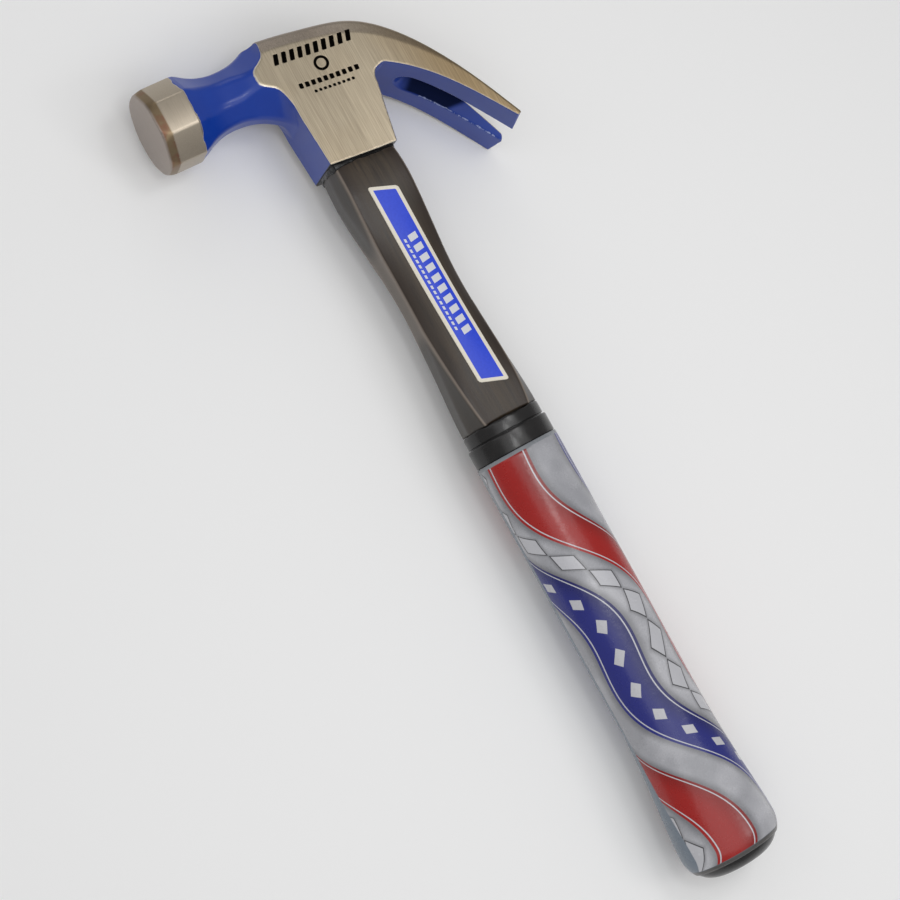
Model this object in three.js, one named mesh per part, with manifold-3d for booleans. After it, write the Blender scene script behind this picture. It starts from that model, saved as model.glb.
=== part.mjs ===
import * as THREE from 'three';
import { mergeVertices } from 'three/addons/utils/BufferGeometryUtils.js';
import Module from 'manifold-3d';

// Curved claw hammer: a forged octagon-pattern head on a jacketed fibreglass handle with a cushion
// grip. Millimetres. The hammer lies on its side: +X runs down the handle from the mouth of the eye
// to the butt, -Y is the striking face, +Y the claw, and +Z one cheek.

const wasm = await Module();
wasm.setup();

// Driving dimensions

// Clearance between neighbouring pieces
const fit = 0.3;

// Fibreglass core and the resin round it in the eye
const coreDepth = 16.4;
const coreThickness = 13;
const epoxyWall = 1.8;
const epoxyCap = 4;
const epoxyRecess = 0.8;
const eyeMouthFlare = 0.4;
const eyeCrownFlare = 1.1;

// Walls of the head round the eye, and its height from the mouth of the eye to the crown
const frontWall = 3;
const backWall = 1.8;
const cheekWall = 3.9;
const headHeight = 52.5;
const mouthSlant = 2.4;
const frontWallLean = 1.2;
const backWallLean = 4.2;

// Poll and neck, round an axis across the handle. The neck's curve is pulled by shares of its run.
const pollHeight = 40.2;
const pollReach = 63.2;
const pollWidth = 30.2;
const pollLength = 14.4;
const faceDiameter = 28.8;
const faceChamferLength = 5.2;
const neckWidth = 20.3;
const neckWaistReach = 33.5;
const neckFlareWidth = 36;
const neckLeaveShare = 0.34;
const neckArrive = { runShare: 0.34, riseShare: 0.28 };
const neckBehindPoll = { runShare: 0.23, dropShare: 0.7 };
const neckWaistShare = 0.45;

// Claw: its reach from the handle's axis, its drop below the mouth, and the throat behind the eye.
// The tips are raked: their inner corners stand beyond the outer ones.
const clawReach = 57.8;
const clawDrop = 13.8;
const clawTipThickness = 1.4;
const clawTipRake = 1.9;
const clawWidth = 40;
const clawFlareStart = 2;
const clawFlareLeaveShare = 0.2;
const clawFlareBend = { reachShare: 0.52, widthShare: 0.67 };
const throatHeight = 26.2;
const throatRadius = 4.6;

// Pulls on the crown line and on the claw's underside, as shares of the claw's reach and of the
// height that each curve starts from
const crownPull = { reachShare: 0.446, heightShare: 0.93 };
const crownBend = { reachShare: 0.621, heightShare: 0.682 };
const undersidePull = { reachShare: 0.63, heightShare: 0.64 };
const undersideBend = { reachShare: 0.77, heightShare: 0.15 };

// Nail slot: a bevelled groove in the underside that breaks through as the claw gets thinner
const slotWidth = 12.8;
const slotDepth = 9.2;
const slotRunout = 40;

// Seal at the mouth of the eye, at its thinnest
const sealThickness = 0.5;
const sealRim = 0.4;

// Handle jacket: a waisted shank between the seal and the grip
const jacketWall = 2.8;
const shankLength = 105;
const shoulderDepth = 28.4;
const shoulderThickness = 21.4;
const shoulderRound = 9;
const shoulderInset = 0.9;
const waistAt = 55;
const collarDepth = 28.6;
const collarThickness = 20.8;
const sideFlat = 17;
const noseFlat = 8;
const shoulderEase = { leaveShare: 0.1, arriveShare: 0.6 };
const waistEase = { leaveShare: 0.12, arriveShare: 0.6 };
const collarEase = { leaveShare: 0.4, arriveShare: 0.25 };

// Label on one side of the shank
const labelLength = 79;
const labelWidth = 10.4;
const labelSlant = 3.8;
const labelThickness = 0.3;
const labelStart = 11.4;
const labelOffset = 0.9;

// Cushion grip with a two-step collar and a flared butt that hooks a little towards the face
const gripLength = 178.2;
const collarRingDepth = 30.2;
const collarRingThickness = 26.2;
const collarRingLength = 4.8;
const gripRimDepth = 31.6;
const gripRimThickness = 27.6;
const gripRimLength = 7.4;
const gripDepth = 31;
const gripThickness = 26.8;
const buttDepth = 37.2;
const buttThickness = 29.6;
const buttHook = 0.6;
const flareLength = 64;
const buttRound = 11;
const buttFlat = 16;
const buttWall = 8;
const flareEase = { leaveShare: 0.5, arriveShare: 0.2 };

// Printed sleeve over the grip
const filmThickness = 0.4;
const filmEndInset = 4.4;

// Facets round the handle, the eye and the face, and steps along curves
const handleSides = 40;
const eyeSides = 40;
const faceSides = 48;
const curveSteps = 14;

// Sizes that follow from them

const coreHalf = halves(coreDepth, coreThickness);
const eyeHalf = grow(coreHalf, fit + epoxyWall + fit);
const jacketBoreHalf = grow(coreHalf, fit);
const seatHalf = grow(jacketBoreHalf, jacketWall);
const gripBoreHalf = grow(seatHalf, fit);
const shoulderHalf = halves(shoulderDepth, shoulderThickness);
const shoulderEndHalf = grow(shoulderHalf, -shoulderInset);
const collarHalf = halves(collarDepth, collarThickness);
const gripHalf = halves(gripDepth, gripThickness);
const buttHalf = halves(buttDepth, buttThickness);
const cheekHalf = eyeHalf.thickness + cheekWall;
const mouthFront = eyeHalf.depth + frontWall;
const mouthBack = eyeHalf.depth + backWall;
const sealEnd = mouthSlant / 2 + fit + sealThickness;
const shankStart = sealEnd + fit;
const gripStart = shankLength + fit;
const filmStart = gripStart + collarRingLength + gripRimLength;
const buttEnd = gripStart + gripLength;
const filmEnd = buttEnd - filmEndInset;
const jacketEnd = buttEnd - buttWall - fit;
const coreTop = headHeight - epoxyRecess - epoxyCap;
const octagonCorner = 1 / Math.cos(Math.PI / 8);

// Half sizes of an oval across the handle

function halves(depth, thickness) {
  return { depth: depth / 2, thickness: thickness / 2 };
}

function grow(half, by) {
  return { depth: half.depth + by, thickness: half.thickness + by };
}

// Solids: a closed geometry becomes a manifold for cuts and joins, and comes back as a geometry

function toManifold(geometry) {
  const bare = geometry.clone();
  bare.deleteAttribute('normal');
  bare.deleteAttribute('uv');
  const merged = mergeVertices(bare);
  const corners = merged.index.array;
  const triVerts = [];
  for (let i = 0; i < corners.length; i += 3) {
    const [a, b, c] = corners.slice(i, i + 3);
    if (a !== b && b !== c && c !== a) {
      triVerts.push(a, b, c);
    }
  }
  return new wasm.Manifold(new wasm.Mesh({
    numProp: 3,
    vertProperties: Float32Array.from(merged.attributes.position.array),
    triVerts: Uint32Array.from(triVerts),
  }));
}

function toGeometry(manifold) {
  const mesh = manifold.getMesh();
  const geometry = new THREE.BufferGeometry();
  geometry.setAttribute('position', new THREE.BufferAttribute(mesh.vertProperties, 3));
  geometry.setIndex(new THREE.BufferAttribute(mesh.triVerts, 1));
  geometry.computeVertexNormals();
  return geometry;
}

// A skin through rings of equal count: closed on itself, or capped at both ends

function loft(rings, closed) {
  const sides = rings[0].length;
  const positions = rings.flat().flatMap((point) => point.toArray());
  const index = [];
  const spans = closed ? rings.length : rings.length - 1;
  for (let r = 0; r < spans; r += 1) {
    const here = r * sides;
    const there = ((r + 1) % rings.length) * sides;
    for (let s = 0; s < sides; s += 1) {
      const next = (s + 1) % sides;
      index.push(here + s, here + next, there + next);
      index.push(here + s, there + next, there + s);
    }
  }
  if (!closed) {
    const last = (rings.length - 1) * sides;
    for (let s = 1; s < sides - 1; s += 1) {
      index.push(0, s + 1, s);
      index.push(last, last + s, last + s + 1);
    }
  }
  const geometry = new THREE.BufferGeometry();
  geometry.setAttribute('position', new THREE.Float32BufferAttribute(positions, 3));
  geometry.setIndex(index);
  geometry.computeVertexNormals();
  return geometry;
}

// Rings across the handle: an oval for the core, the grip and the sleeve

function ovalRing(along, half) {
  const ring = [];
  for (let s = 0; s < handleSides; s += 1) {
    const angle = (s / handleSides) * 2 * Math.PI;
    ring.push(new THREE.Vector3(along, half.depth * Math.cos(angle), half.thickness * Math.sin(angle)));
  }
  return ring;
}

// The shank's ring has a wide flat on each side and a narrow one at front and back, with slanting
// facets between them

function shankRing(along, half) {
  const sideHalf = sideFlat / 2;
  const noseHalf = noseFlat / 2;
  const across = half.depth - sideHalf;
  const down = half.thickness - noseHalf;
  const facetReach = half.depth * down + noseHalf * across;
  const ring = [];
  for (let s = 0; s < handleSides; s += 1) {
    const angle = (s / handleSides) * 2 * Math.PI;
    const y = Math.cos(angle);
    const z = Math.sin(angle);
    const radius = Math.min(
      half.depth / Math.abs(y),
      half.thickness / Math.abs(z),
      facetReach / (Math.abs(y) * down + Math.abs(z) * across),
    );
    ring.push(new THREE.Vector3(along, radius * y, radius * z));
  }
  return ring;
}

// A curve through [along, half depth, half thickness] from one section to the next, level at both
// ends, as stations for rings

function blendStations(fromAlong, fromHalf, toAlong, toHalf, ease) {
  const point = (along, half) => new THREE.Vector3(along, half.depth, half.thickness);
  return new THREE.CubicBezierCurve3(
    point(fromAlong, fromHalf),
    point(fromAlong + (toAlong - fromAlong) * ease.leaveShare, fromHalf),
    point(toAlong - (toAlong - fromAlong) * ease.arriveShare, toHalf),
    point(toAlong, toHalf),
  ).getPoints(curveSteps / 2).map((p) => ({ along: p.x, half: { depth: p.y, thickness: p.z } }));
}

// Hammer head

// Side view points are [towards the claw, above the mouth], placed as model X and Y

const onSide = (forward, height) => new THREE.Vector2(-height, forward);

const crownLine = new THREE.CubicBezierCurve(
  onSide(-mouthFront - frontWallLean, headHeight),
  onSide(clawReach * crownPull.reachShare, headHeight * crownPull.heightShare),
  onSide(clawReach * crownBend.reachShare, headHeight * crownBend.heightShare),
  onSide(clawReach, -clawDrop),
);

const tipRun = crownLine.getTangent(1);
const tipAcross = new THREE.Vector2(tipRun.y, -tipRun.x);

const clawUnderside = new THREE.CubicBezierCurve(
  onSide(mouthBack + backWallLean + throatRadius, throatHeight),
  onSide(clawReach * undersidePull.reachShare, throatHeight * undersidePull.heightShare),
  onSide(clawReach * undersideBend.reachShare, throatHeight * undersideBend.heightShare),
  crownLine.v3.clone().addScaledVector(tipAcross, clawTipThickness),
);

function headOutline() {
  const crown = crownLine.getPoints(2 * curveSteps);
  const underside = clawUnderside.getPoints(curveSteps).reverse();
  const throat = new THREE.QuadraticBezierCurve(
    onSide(mouthBack + backWallLean + throatRadius, throatHeight),
    onSide(mouthBack + backWallLean, throatHeight),
    onSide(mouthBack + backWallLean, throatHeight - throatRadius),
  ).getPoints(curveSteps / 2);
  return new THREE.Shape([
    ...crown,
    ...underside,
    ...throat.slice(1),
    onSide(mouthBack, -mouthSlant / 2),
    onSide(-mouthFront, mouthSlant / 2),
    onSide(-mouthFront - frontWallLean, pollHeight / 2),
  ]);
}

function sideSlab(outline) {
  const slab = new THREE.ExtrudeGeometry(outline, { depth: 2 * clawWidth, bevelEnabled: false });
  slab.translate(0, 0, -clawWidth);
  return toManifold(slab);
}

// Seen from the crown, the cheeks are parallel and the claw flares to its tips

function headPlan() {
  const clawHalf = clawWidth / 2;
  const flare = new THREE.CubicBezierCurve(
    new THREE.Vector2(cheekHalf, clawFlareStart),
    new THREE.Vector2(cheekHalf, clawFlareStart + clawReach * clawFlareLeaveShare),
    new THREE.Vector2(
      THREE.MathUtils.lerp(cheekHalf, clawHalf, clawFlareBend.widthShare),
      clawReach * clawFlareBend.reachShare,
    ),
    new THREE.Vector2(clawHalf, clawReach),
  ).getPoints(curveSteps);
  const near = [
    new THREE.Vector2(cheekHalf, -pollReach),
    ...flare,
    new THREE.Vector2(clawHalf, 2 * clawReach),
  ];
  const far = near.map((point) => new THREE.Vector2(-point.x, point.y)).reverse();
  const tall = 4 * headHeight;
  const plan = new THREE.ExtrudeGeometry(new THREE.Shape([...near, ...far]), {
    depth: tall,
    bevelEnabled: false,
  });
  plan.rotateY(Math.PI / 2);
  plan.translate(-tall / 2, 0, 0);
  return toManifold(plan);
}

// Poll and neck are octagons revolved about the poll's axis from [reach, distance to a flat]. The
// neck narrows behind the poll and opens again into the cheeks.

function revolveAlongPoll(profile, sides) {
  const corner = 1 / Math.cos(Math.PI / sides);
  const points = profile.map(([reach, flat]) => new THREE.Vector2(flat * corner, -reach));
  const geometry = new THREE.LatheGeometry(points, sides, Math.PI / sides);
  geometry.translate(-pollHeight, 0, 0);
  return toManifold(geometry);
}

const neckRoot = new THREE.Vector2(mouthFront + frontWallLean, neckFlareWidth / 2);

function neckOpening() {
  const waist = new THREE.Vector2(neckWaistReach, neckWidth / 2);
  const run = waist.x - neckRoot.x;
  const rise = neckRoot.y - waist.y;
  return new THREE.CubicBezierCurve(
    waist,
    new THREE.Vector2(waist.x - run * neckLeaveShare, waist.y),
    new THREE.Vector2(neckRoot.x + run * neckArrive.runShare, waist.y + rise * neckArrive.riseShare),
    neckRoot,
  ).getPoints(curveSteps).map((point) => point.toArray());
}

function neckNarrowing() {
  const waist = new THREE.Vector2(neckWaistReach, neckWidth / 2);
  const pollBack = new THREE.Vector2(pollReach - pollLength, pollWidth / 2);
  const run = pollBack.x - waist.x;
  const drop = pollBack.y - waist.y;
  return new THREE.CubicBezierCurve(
    pollBack,
    new THREE.Vector2(
      pollBack.x - run * neckBehindPoll.runShare,
      pollBack.y - drop * neckBehindPoll.dropShare,
    ),
    new THREE.Vector2(waist.x + run * neckWaistShare, waist.y),
    waist,
  ).getPoints(curveSteps).map((point) => point.toArray());
}

function pollAndNeck() {
  const octagon = revolveAlongPoll([
    [pollReach, 0],
    [pollReach, pollWidth / 2],
    ...neckNarrowing(),
    [0, neckWidth / 2],
    [0, 0],
  ], 8);
  const faceEnvelope = revolveAlongPoll([
    [pollReach, 0],
    [pollReach, faceDiameter / 2],
    [pollReach - faceChamferLength, (pollWidth / 2) * octagonCorner],
    [pollReach - pollLength, pollWidth],
    [0, pollWidth],
    [0, 0],
  ], faceSides);
  return octagon.intersect(faceEnvelope);
}

// The opening of the neck is ground level with the cheeks and the crown

function neckFlare() {
  const flare = revolveAlongPoll([
    [neckWaistReach, 0],
    ...neckOpening(),
    [neckRoot.x - frontWall / 2, neckRoot.y],
    [neckRoot.x - frontWall / 2, 0],
  ], 8);
  const ground = new THREE.BoxGeometry(2 * pollHeight, 2 * pollReach, 2 * cheekHalf);
  ground.translate(pollHeight - headHeight, 0, 0);
  return flare.intersect(toManifold(ground));
}

// The eye is narrowest in the middle, so that the resin locks the handle in

function eyeFill(clearance) {
  const above = headHeight + fit;
  const below = mouthSlant + fit;
  const radius = eyeHalf.depth - clearance;
  const profile = [
    [-above, 0],
    [-above, radius + eyeCrownFlare],
    [-headHeight / 2, radius],
    [below, radius + eyeMouthFlare],
    [below, 0],
  ];
  const points = profile.map(([along, across]) => new THREE.Vector2(across, along));
  const geometry = new THREE.LatheGeometry(points, eyeSides);
  geometry.rotateZ(-Math.PI / 2);
  geometry.scale(1, 1, (eyeHalf.thickness - clearance) / radius);
  return toManifold(geometry);
}

// The nail slot is a V groove along the underside, as deep as slotDepth, that starts in a round end

function nailSlot() {
  const startShare = 1 - slotRunout / clawUnderside.getLength();
  const stations = [];
  for (let i = 0; i <= curveSteps; i += 1) {
    const share = startShare + (1 - startShare) * (i / curveSteps);
    stations.push({ point: clawUnderside.getPointAt(share), run: clawUnderside.getTangentAt(share) });
  }
  const tip = stations[curveSteps];
  stations.push({ point: tip.point.clone().addScaledVector(tip.run, slotWidth), run: tip.run });
  const rings = stations.map(({ point, run }) => {
    const bottom = point.clone().add(new THREE.Vector2(-run.y, run.x).multiplyScalar(slotDepth));
    const mouth = point.clone().add(new THREE.Vector2(run.y, -run.x).multiplyScalar(slotDepth));
    return [
      new THREE.Vector3(bottom.x, bottom.y, 0),
      new THREE.Vector3(mouth.x, mouth.y, slotWidth),
      new THREE.Vector3(mouth.x, mouth.y, -slotWidth),
    ];
  });
  const groove = toManifold(loft(rings, false));
  const { point, run } = stations[0];
  const end = new THREE.ConeGeometry(slotWidth, 2 * slotDepth, faceSides / 2);
  const into = new THREE.Vector3(-run.y, run.x, 0);
  end.applyQuaternion(new THREE.Quaternion().setFromUnitVectors(new THREE.Vector3(0, 1, 0), into));
  end.translate(point.x, point.y, 0);
  return groove.add(toManifold(end));
}

// What the rake takes off the tips: all that lies beyond two edges that fall back from the sides of
// the slot, drawn as [along the claw, across it]

function beyondTips() {
  const slope = clawTipRake / (clawWidth / 2 - slotWidth / 2);
  const peak = (slope * slotWidth) / 2;
  const fallen = peak - slope * clawWidth;
  const outline = new THREE.Shape([
    new THREE.Vector2(fallen, -clawWidth),
    new THREE.Vector2(clawReach, -clawWidth),
    new THREE.Vector2(clawReach, clawWidth),
    new THREE.Vector2(fallen, clawWidth),
    new THREE.Vector2(peak, 0),
  ]);
  const wedge = new THREE.ExtrudeGeometry(outline, { depth: clawWidth, bevelEnabled: false });
  wedge.translate(0, 0, -clawWidth / 2);
  const along = new THREE.Vector3(tipRun.x, tipRun.y, 0);
  const side = new THREE.Vector3(0, 0, 1);
  const place = new THREE.Matrix4().makeBasis(along, side, along.clone().cross(side));
  place.setPosition(crownLine.v3.x, crownLine.v3.y, 0);
  return toManifold(wedge.applyMatrix4(place));
}

function headSolid() {
  const bodyAndClaw = sideSlab(headOutline()).intersect(headPlan());
  const forging = bodyAndClaw.add(pollAndNeck()).add(neckFlare());
  return forging.subtract(eyeFill(0)).subtract(nailSlot()).subtract(beyondTips());
}

// Resin in the eye: level with the mouth, a little below the crown, round the core

function epoxySolid() {
  const head = sideSlab(headOutline());
  const socket = toManifold(loft([
    ovalRing(-coreTop - fit, jacketBoreHalf),
    ovalRing(mouthSlant + headHeight, jacketBoreHalf),
  ], false));
  return eyeFill(fit).intersect(head).intersect(head.translate([epoxyRecess, 0, 0])).subtract(socket);
}

// Seal: a bead that fills the wedge between the slanting mouth and the square shoulder of the jacket

function sealSolid() {
  const outer = grow(shoulderEndHalf, sealRim);
  const bead = toManifold(loft([
    ovalRing(-mouthSlant, outer),
    ovalRing(sealEnd, outer),
    ovalRing(sealEnd, jacketBoreHalf),
    ovalRing(-mouthSlant, jacketBoreHalf),
  ], true));
  const slope = mouthSlant / (mouthFront + mouthBack);
  const mouthAt = (forward) => fit + mouthSlant / 2 + slope * (forward - mouthBack);
  const aboveMouth = new THREE.Shape([
    new THREE.Vector2(mouthAt(-clawReach), -clawReach),
    new THREE.Vector2(mouthAt(clawReach), clawReach),
    new THREE.Vector2(-headHeight, clawReach),
    new THREE.Vector2(-headHeight, -clawReach),
  ]);
  return bead.subtract(sideSlab(aboveMouth));
}

// Core: one oval section from the eye to the butt

function coreGeometry() {
  return loft([ovalRing(-coreTop, coreHalf), ovalRing(jacketEnd, coreHalf)], false);
}

// Jacket: round shoulder under the head, waist, swell to the collar, and a plain seat for the grip

function shankStations() {
  const shoulderAt = shankStart + shoulderRound;
  return [
    ...blendStations(shankStart, shoulderEndHalf, shoulderAt, shoulderHalf, shoulderEase),
    ...blendStations(shoulderAt, shoulderHalf, waistAt, seatHalf, waistEase).slice(1),
    ...blendStations(waistAt, seatHalf, shankLength, collarHalf, collarEase).slice(1),
  ];
}

function jacketGeometry() {
  return loft([
    ...shankStations().map(({ along, half }) => shankRing(along, half)),
    ovalRing(shankLength, seatHalf),
    ovalRing(jacketEnd, seatHalf),
    ovalRing(jacketEnd, jacketBoreHalf),
    ovalRing(shankStart, jacketBoreHalf),
  ], true);
}

// Label: a slant-ended strip bent to the flat on one side of the shank

function shankThicknessAt(along) {
  const stations = shankStations();
  const after = stations.findIndex((station) => station.along >= along);
  const [a, b] = [stations[after - 1], stations[after]];
  const share = (along - a.along) / (b.along - a.along);
  return a.half.thickness + (b.half.thickness - a.half.thickness) * share;
}

function labelGeometry() {
  const strip = new THREE.BoxGeometry(labelLength, labelWidth, labelThickness, 2 * curveSteps, 1, 1);
  const position = strip.attributes.position;
  for (let i = 0; i < position.count; i += 1) {
    const shift = (labelSlant * (position.getY(i) + labelWidth / 2)) / labelWidth;
    const along = labelStart + labelLength / 2 + position.getX(i) + shift;
    const lift = fit + labelThickness / 2 + position.getZ(i);
    position.setXYZ(i, along, position.getY(i) + labelOffset, shankThicknessAt(along) + lift);
  }
  strip.computeVertexNormals();
  return strip;
}

// Grip: sections from the start of the sleeve to the butt's flat end, which hooks forward

function gripStations() {
  const roundAt = buttEnd - buttRound;
  const round = [];
  const flatHalf = halves(buttFlat, (buttFlat * buttThickness) / buttDepth);
  const steps = curveSteps / 2;
  for (let i = 1; i <= steps; i += 1) {
    const angle = (i / steps) * (Math.PI / 2);
    const share = Math.cos(angle);
    round.push({
      along: roundAt + buttRound * Math.sin(angle),
      half: {
        depth: flatHalf.depth + (buttHalf.depth - flatHalf.depth) * share,
        thickness: flatHalf.thickness + (buttHalf.thickness - flatHalf.thickness) * share,
      },
    });
  }
  return [
    { along: filmStart, half: gripHalf },
    ...blendStations(buttEnd - flareLength, gripHalf, roundAt, buttHalf, flareEase),
    ...round,
  ];
}

function gripRing(along, half) {
  const hook = THREE.MathUtils.smoothstep(along, buttEnd - flareLength, buttEnd - buttRound);
  return ovalRing(along, half).map((point) => point.setY(point.y - buttHook * hook));
}

function gripGeometry() {
  const ringHalf = halves(collarRingDepth, collarRingThickness);
  const rimHalf = halves(gripRimDepth, gripRimThickness);
  const rimStart = gripStart + collarRingLength;
  return loft([
    ovalRing(jacketEnd + fit, gripBoreHalf),
    ovalRing(gripStart, gripBoreHalf),
    ovalRing(gripStart, ringHalf),
    ovalRing(rimStart, ringHalf),
    ovalRing(rimStart, rimHalf),
    ovalRing(filmStart - fit, rimHalf),
    ovalRing(filmStart - fit, gripHalf),
    ...gripStations().slice(1).map(({ along, half }) => gripRing(along, half)),
  ], false);
}

// Sleeve: a film shell that follows the grip round to the edge of the butt

function sleeveGeometry() {
  const stations = gripStations();
  const covered = stations.filter(({ along }) => along < filmEnd);
  const before = covered[covered.length - 1];
  const after = stations[covered.length];
  const share = (filmEnd - before.along) / (after.along - before.along);
  const mix = (key) => before.half[key] + (after.half[key] - before.half[key]) * share;
  covered.push({ along: filmEnd, half: { depth: mix('depth'), thickness: mix('thickness') } });
  const skin = (by) => covered.map(({ along, half }) => gripRing(along, grow(half, by)));
  return loft([...skin(fit + filmThickness), ...skin(fit).reverse()], true);
}

// Assembly

const hammer = new THREE.Group();

function addPiece(name, geometry, color, roughness, metalness) {
  const finish = new THREE.MeshStandardMaterial({ color, roughness, metalness });
  const mesh = new THREE.Mesh(geometry, finish);
  mesh.name = name;
  hammer.add(mesh);
}

addPiece('hammer_head', toGeometry(headSolid()), 0x9c8b78, 0.4, 1);
addPiece('eye_epoxy', toGeometry(epoxySolid()), 0x4a4238, 0.35, 0);
addPiece('eye_seal', toGeometry(sealSolid()), 0x15151a, 0.35, 0);
addPiece('fibreglass_core', coreGeometry(), 0xb9b08a, 0.5, 0);
addPiece('handle_jacket', jacketGeometry(), 0x4a433e, 0.45, 0);
addPiece('handle_label', labelGeometry(), 0x425bdc, 0.4, 0);
addPiece('cushion_grip', gripGeometry(), 0x2c2929, 0.5, 0);
addPiece('print_sleeve', sleeveGeometry(), 0xa9a9ae, 0.3, 0);

// The origin lies under the middle of the hammer, on the surface that it lies on

const box = new THREE.Box3().setFromObject(hammer);
const middle = box.getCenter(new THREE.Vector3());
hammer.position.set(-middle.x, -middle.y, -box.min.z);

export default hammer;
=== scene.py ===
import bpy
import math
import numpy as np
from functools import partial
from mathutils import Matrix, Vector


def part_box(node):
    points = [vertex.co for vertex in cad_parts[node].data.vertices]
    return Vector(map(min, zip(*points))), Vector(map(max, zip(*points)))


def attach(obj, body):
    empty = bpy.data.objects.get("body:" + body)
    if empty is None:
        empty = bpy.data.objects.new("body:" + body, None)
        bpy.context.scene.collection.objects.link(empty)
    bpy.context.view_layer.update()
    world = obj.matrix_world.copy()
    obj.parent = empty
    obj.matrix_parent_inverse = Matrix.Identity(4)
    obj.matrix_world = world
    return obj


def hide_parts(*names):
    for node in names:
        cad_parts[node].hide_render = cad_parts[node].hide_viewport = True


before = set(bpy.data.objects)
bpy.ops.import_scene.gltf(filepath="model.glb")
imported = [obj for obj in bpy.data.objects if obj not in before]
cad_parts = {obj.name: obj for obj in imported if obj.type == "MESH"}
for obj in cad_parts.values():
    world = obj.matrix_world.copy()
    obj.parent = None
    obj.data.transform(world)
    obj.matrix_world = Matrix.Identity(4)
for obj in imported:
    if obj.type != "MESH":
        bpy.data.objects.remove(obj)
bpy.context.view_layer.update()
print("frame loaded:", len(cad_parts), "nodes")

# All drawing is in mm from the mouth of the eye: x runs to the butt, y to the claw, z to the upper cheek
mm = 0.001  # metres
handle = {"buttEnd": 283.5, "shankStart": 2.3, "shankEnd": 105, "gripStart": 105.3, "filmStart": 117.5}
coreLow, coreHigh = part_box("fibreglass_core")
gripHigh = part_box("cushion_grip")[1]
eyeMouth = np.array([
    gripHigh.x - handle["buttEnd"] * mm, (coreLow.y + coreHigh.y) / 2, (coreLow.z + coreHigh.z) / 2])


def toFrame(points):
    return np.asarray(points, float) * mm + eyeMouth


# Small helpers for curves, colours, nodes and meshes

def bezier(corners, steps):
    t = np.linspace(0, 1, steps + 1)[:, None]
    a, b, c, d = [np.asarray(corner, float) for corner in corners]
    return a * (1 - t) ** 3 + 3 * b * t * (1 - t) ** 2 + 3 * c * t ** 2 * (1 - t) + d * t ** 3


def ease(low, high, value):
    t = np.clip((value - low) / (high - low), 0, 1)
    return t * t * (3 - 2 * t)


def hexToLinear(code):
    channels = [int(code[i:i + 2], 16) / 255 for i in (1, 3, 5)]
    return [c / 12.92 if c <= 0.04045 else ((c + 0.055) / 1.055) ** 2.4 for c in channels] + [1]


# Settings go by name or by socket number. A node among them is linked by its Fac, or else by its first output
# in use, and a string on a socket is a hex colour
def addNode(tree, kind, settings):
    node = tree.nodes.new("ShaderNode" + kind)
    for key, value in settings.items():
        if isinstance(value, bpy.types.Node):
            value = value.outputs.get("Fac") or next(out for out in value.outputs if out.enabled)
        if isinstance(value, bpy.types.NodeSocket):
            tree.links.new(value, node.inputs[key])
        elif isinstance(key, int) or key in node.inputs:
            node.inputs[key].default_value = hexToLinear(value) if isinstance(value, str) else value
        else:
            setattr(node, key, value)
    return node


def startMaterial(name):
    material = bpy.data.materials.new(name)
    material.use_nodes = True
    material.node_tree.nodes.clear()
    add = partial(addNode, material.node_tree)
    where = add("TexCoord", {})
    place = add("Mapping", {"Scale": [1 / mm] * 3, "Vector": where.outputs["Object"]})
    return material, add, place


def finishMaterial(material, settings):
    shader = addNode(material.node_tree, "BsdfPrincipled", settings)
    addNode(material.node_tree, "OutputMaterial", {"Surface": shader})
    return material


# Fields are measures for the finish, one for each point or for each corner of a face
def addPiece(name, points, faces, material, node, fields):
    mesh = bpy.data.meshes.new(name)
    mesh.from_pydata(toFrame(points).tolist(), [], [tuple(face) for face in faces])
    mesh.update()
    mesh.shade_smooth()
    mesh.materials.append(material)
    for field, values in fields.items():
        domain = "POINT" if np.size(values) == len(points) else "CORNER"
        layer = mesh.attributes.new(field, "FLOAT", domain)
        layer.data.foreach_set("value", np.ascontiguousarray(values, np.float32).ravel())
    piece = bpy.data.objects.new(name, mesh)
    bpy.context.scene.collection.objects.link(piece)
    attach(piece, "root")
    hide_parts(node)
    print(name, "made:", len(points), "points,", len(faces), "faces")
    return piece


def turns(sides):
    return np.arange(sides) / sides * 2 * math.pi


# Unevenness of handwork: a sum of waves, each with its size, count and start
def waver(turn, waves):
    return sum(size * np.sin(count * turn + start) for size, count, start in waves)


# Stations along the handle from one section to the next, level at both ends
def blendSections(fromAlong, fromHalf, toAlong, toHalf, shares, steps):
    run, (leave, arrive) = toAlong - fromAlong, shares
    return bezier([(fromAlong, *fromHalf), (fromAlong + run * leave, *fromHalf),
                   (toAlong - run * arrive, *toHalf), (toAlong, *toHalf)], steps)


# A skin through rings of equal count: round on itself like a tube wall, or closed at both ends
def ringFaces(rings, sides, loop):
    spans = rings if loop else rings - 1
    r, s = np.meshgrid(np.arange(spans), np.arange(sides), indexing="ij")
    here, there, nextSide = r * sides, ((r + 1) % rings) * sides, (s + 1) % sides
    quads = np.stack([here + s, here + nextSide, there + nextSide, there + s], -1).reshape(-1, 4).tolist()
    if not loop:
        quads += [list(range(sides))[::-1], list(range((rings - 1) * sides, rings * sides))]
    return quads


# Camera and light

camera = {
    "place": (132.8, -255.7, 697.6),
    "target": (106.2, -21.7, 0),
    "roll": -28.9,  # degrees
    "lens": 83.36, "sensor": 36,  # mm
    "clipStart": 10,
}


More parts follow.
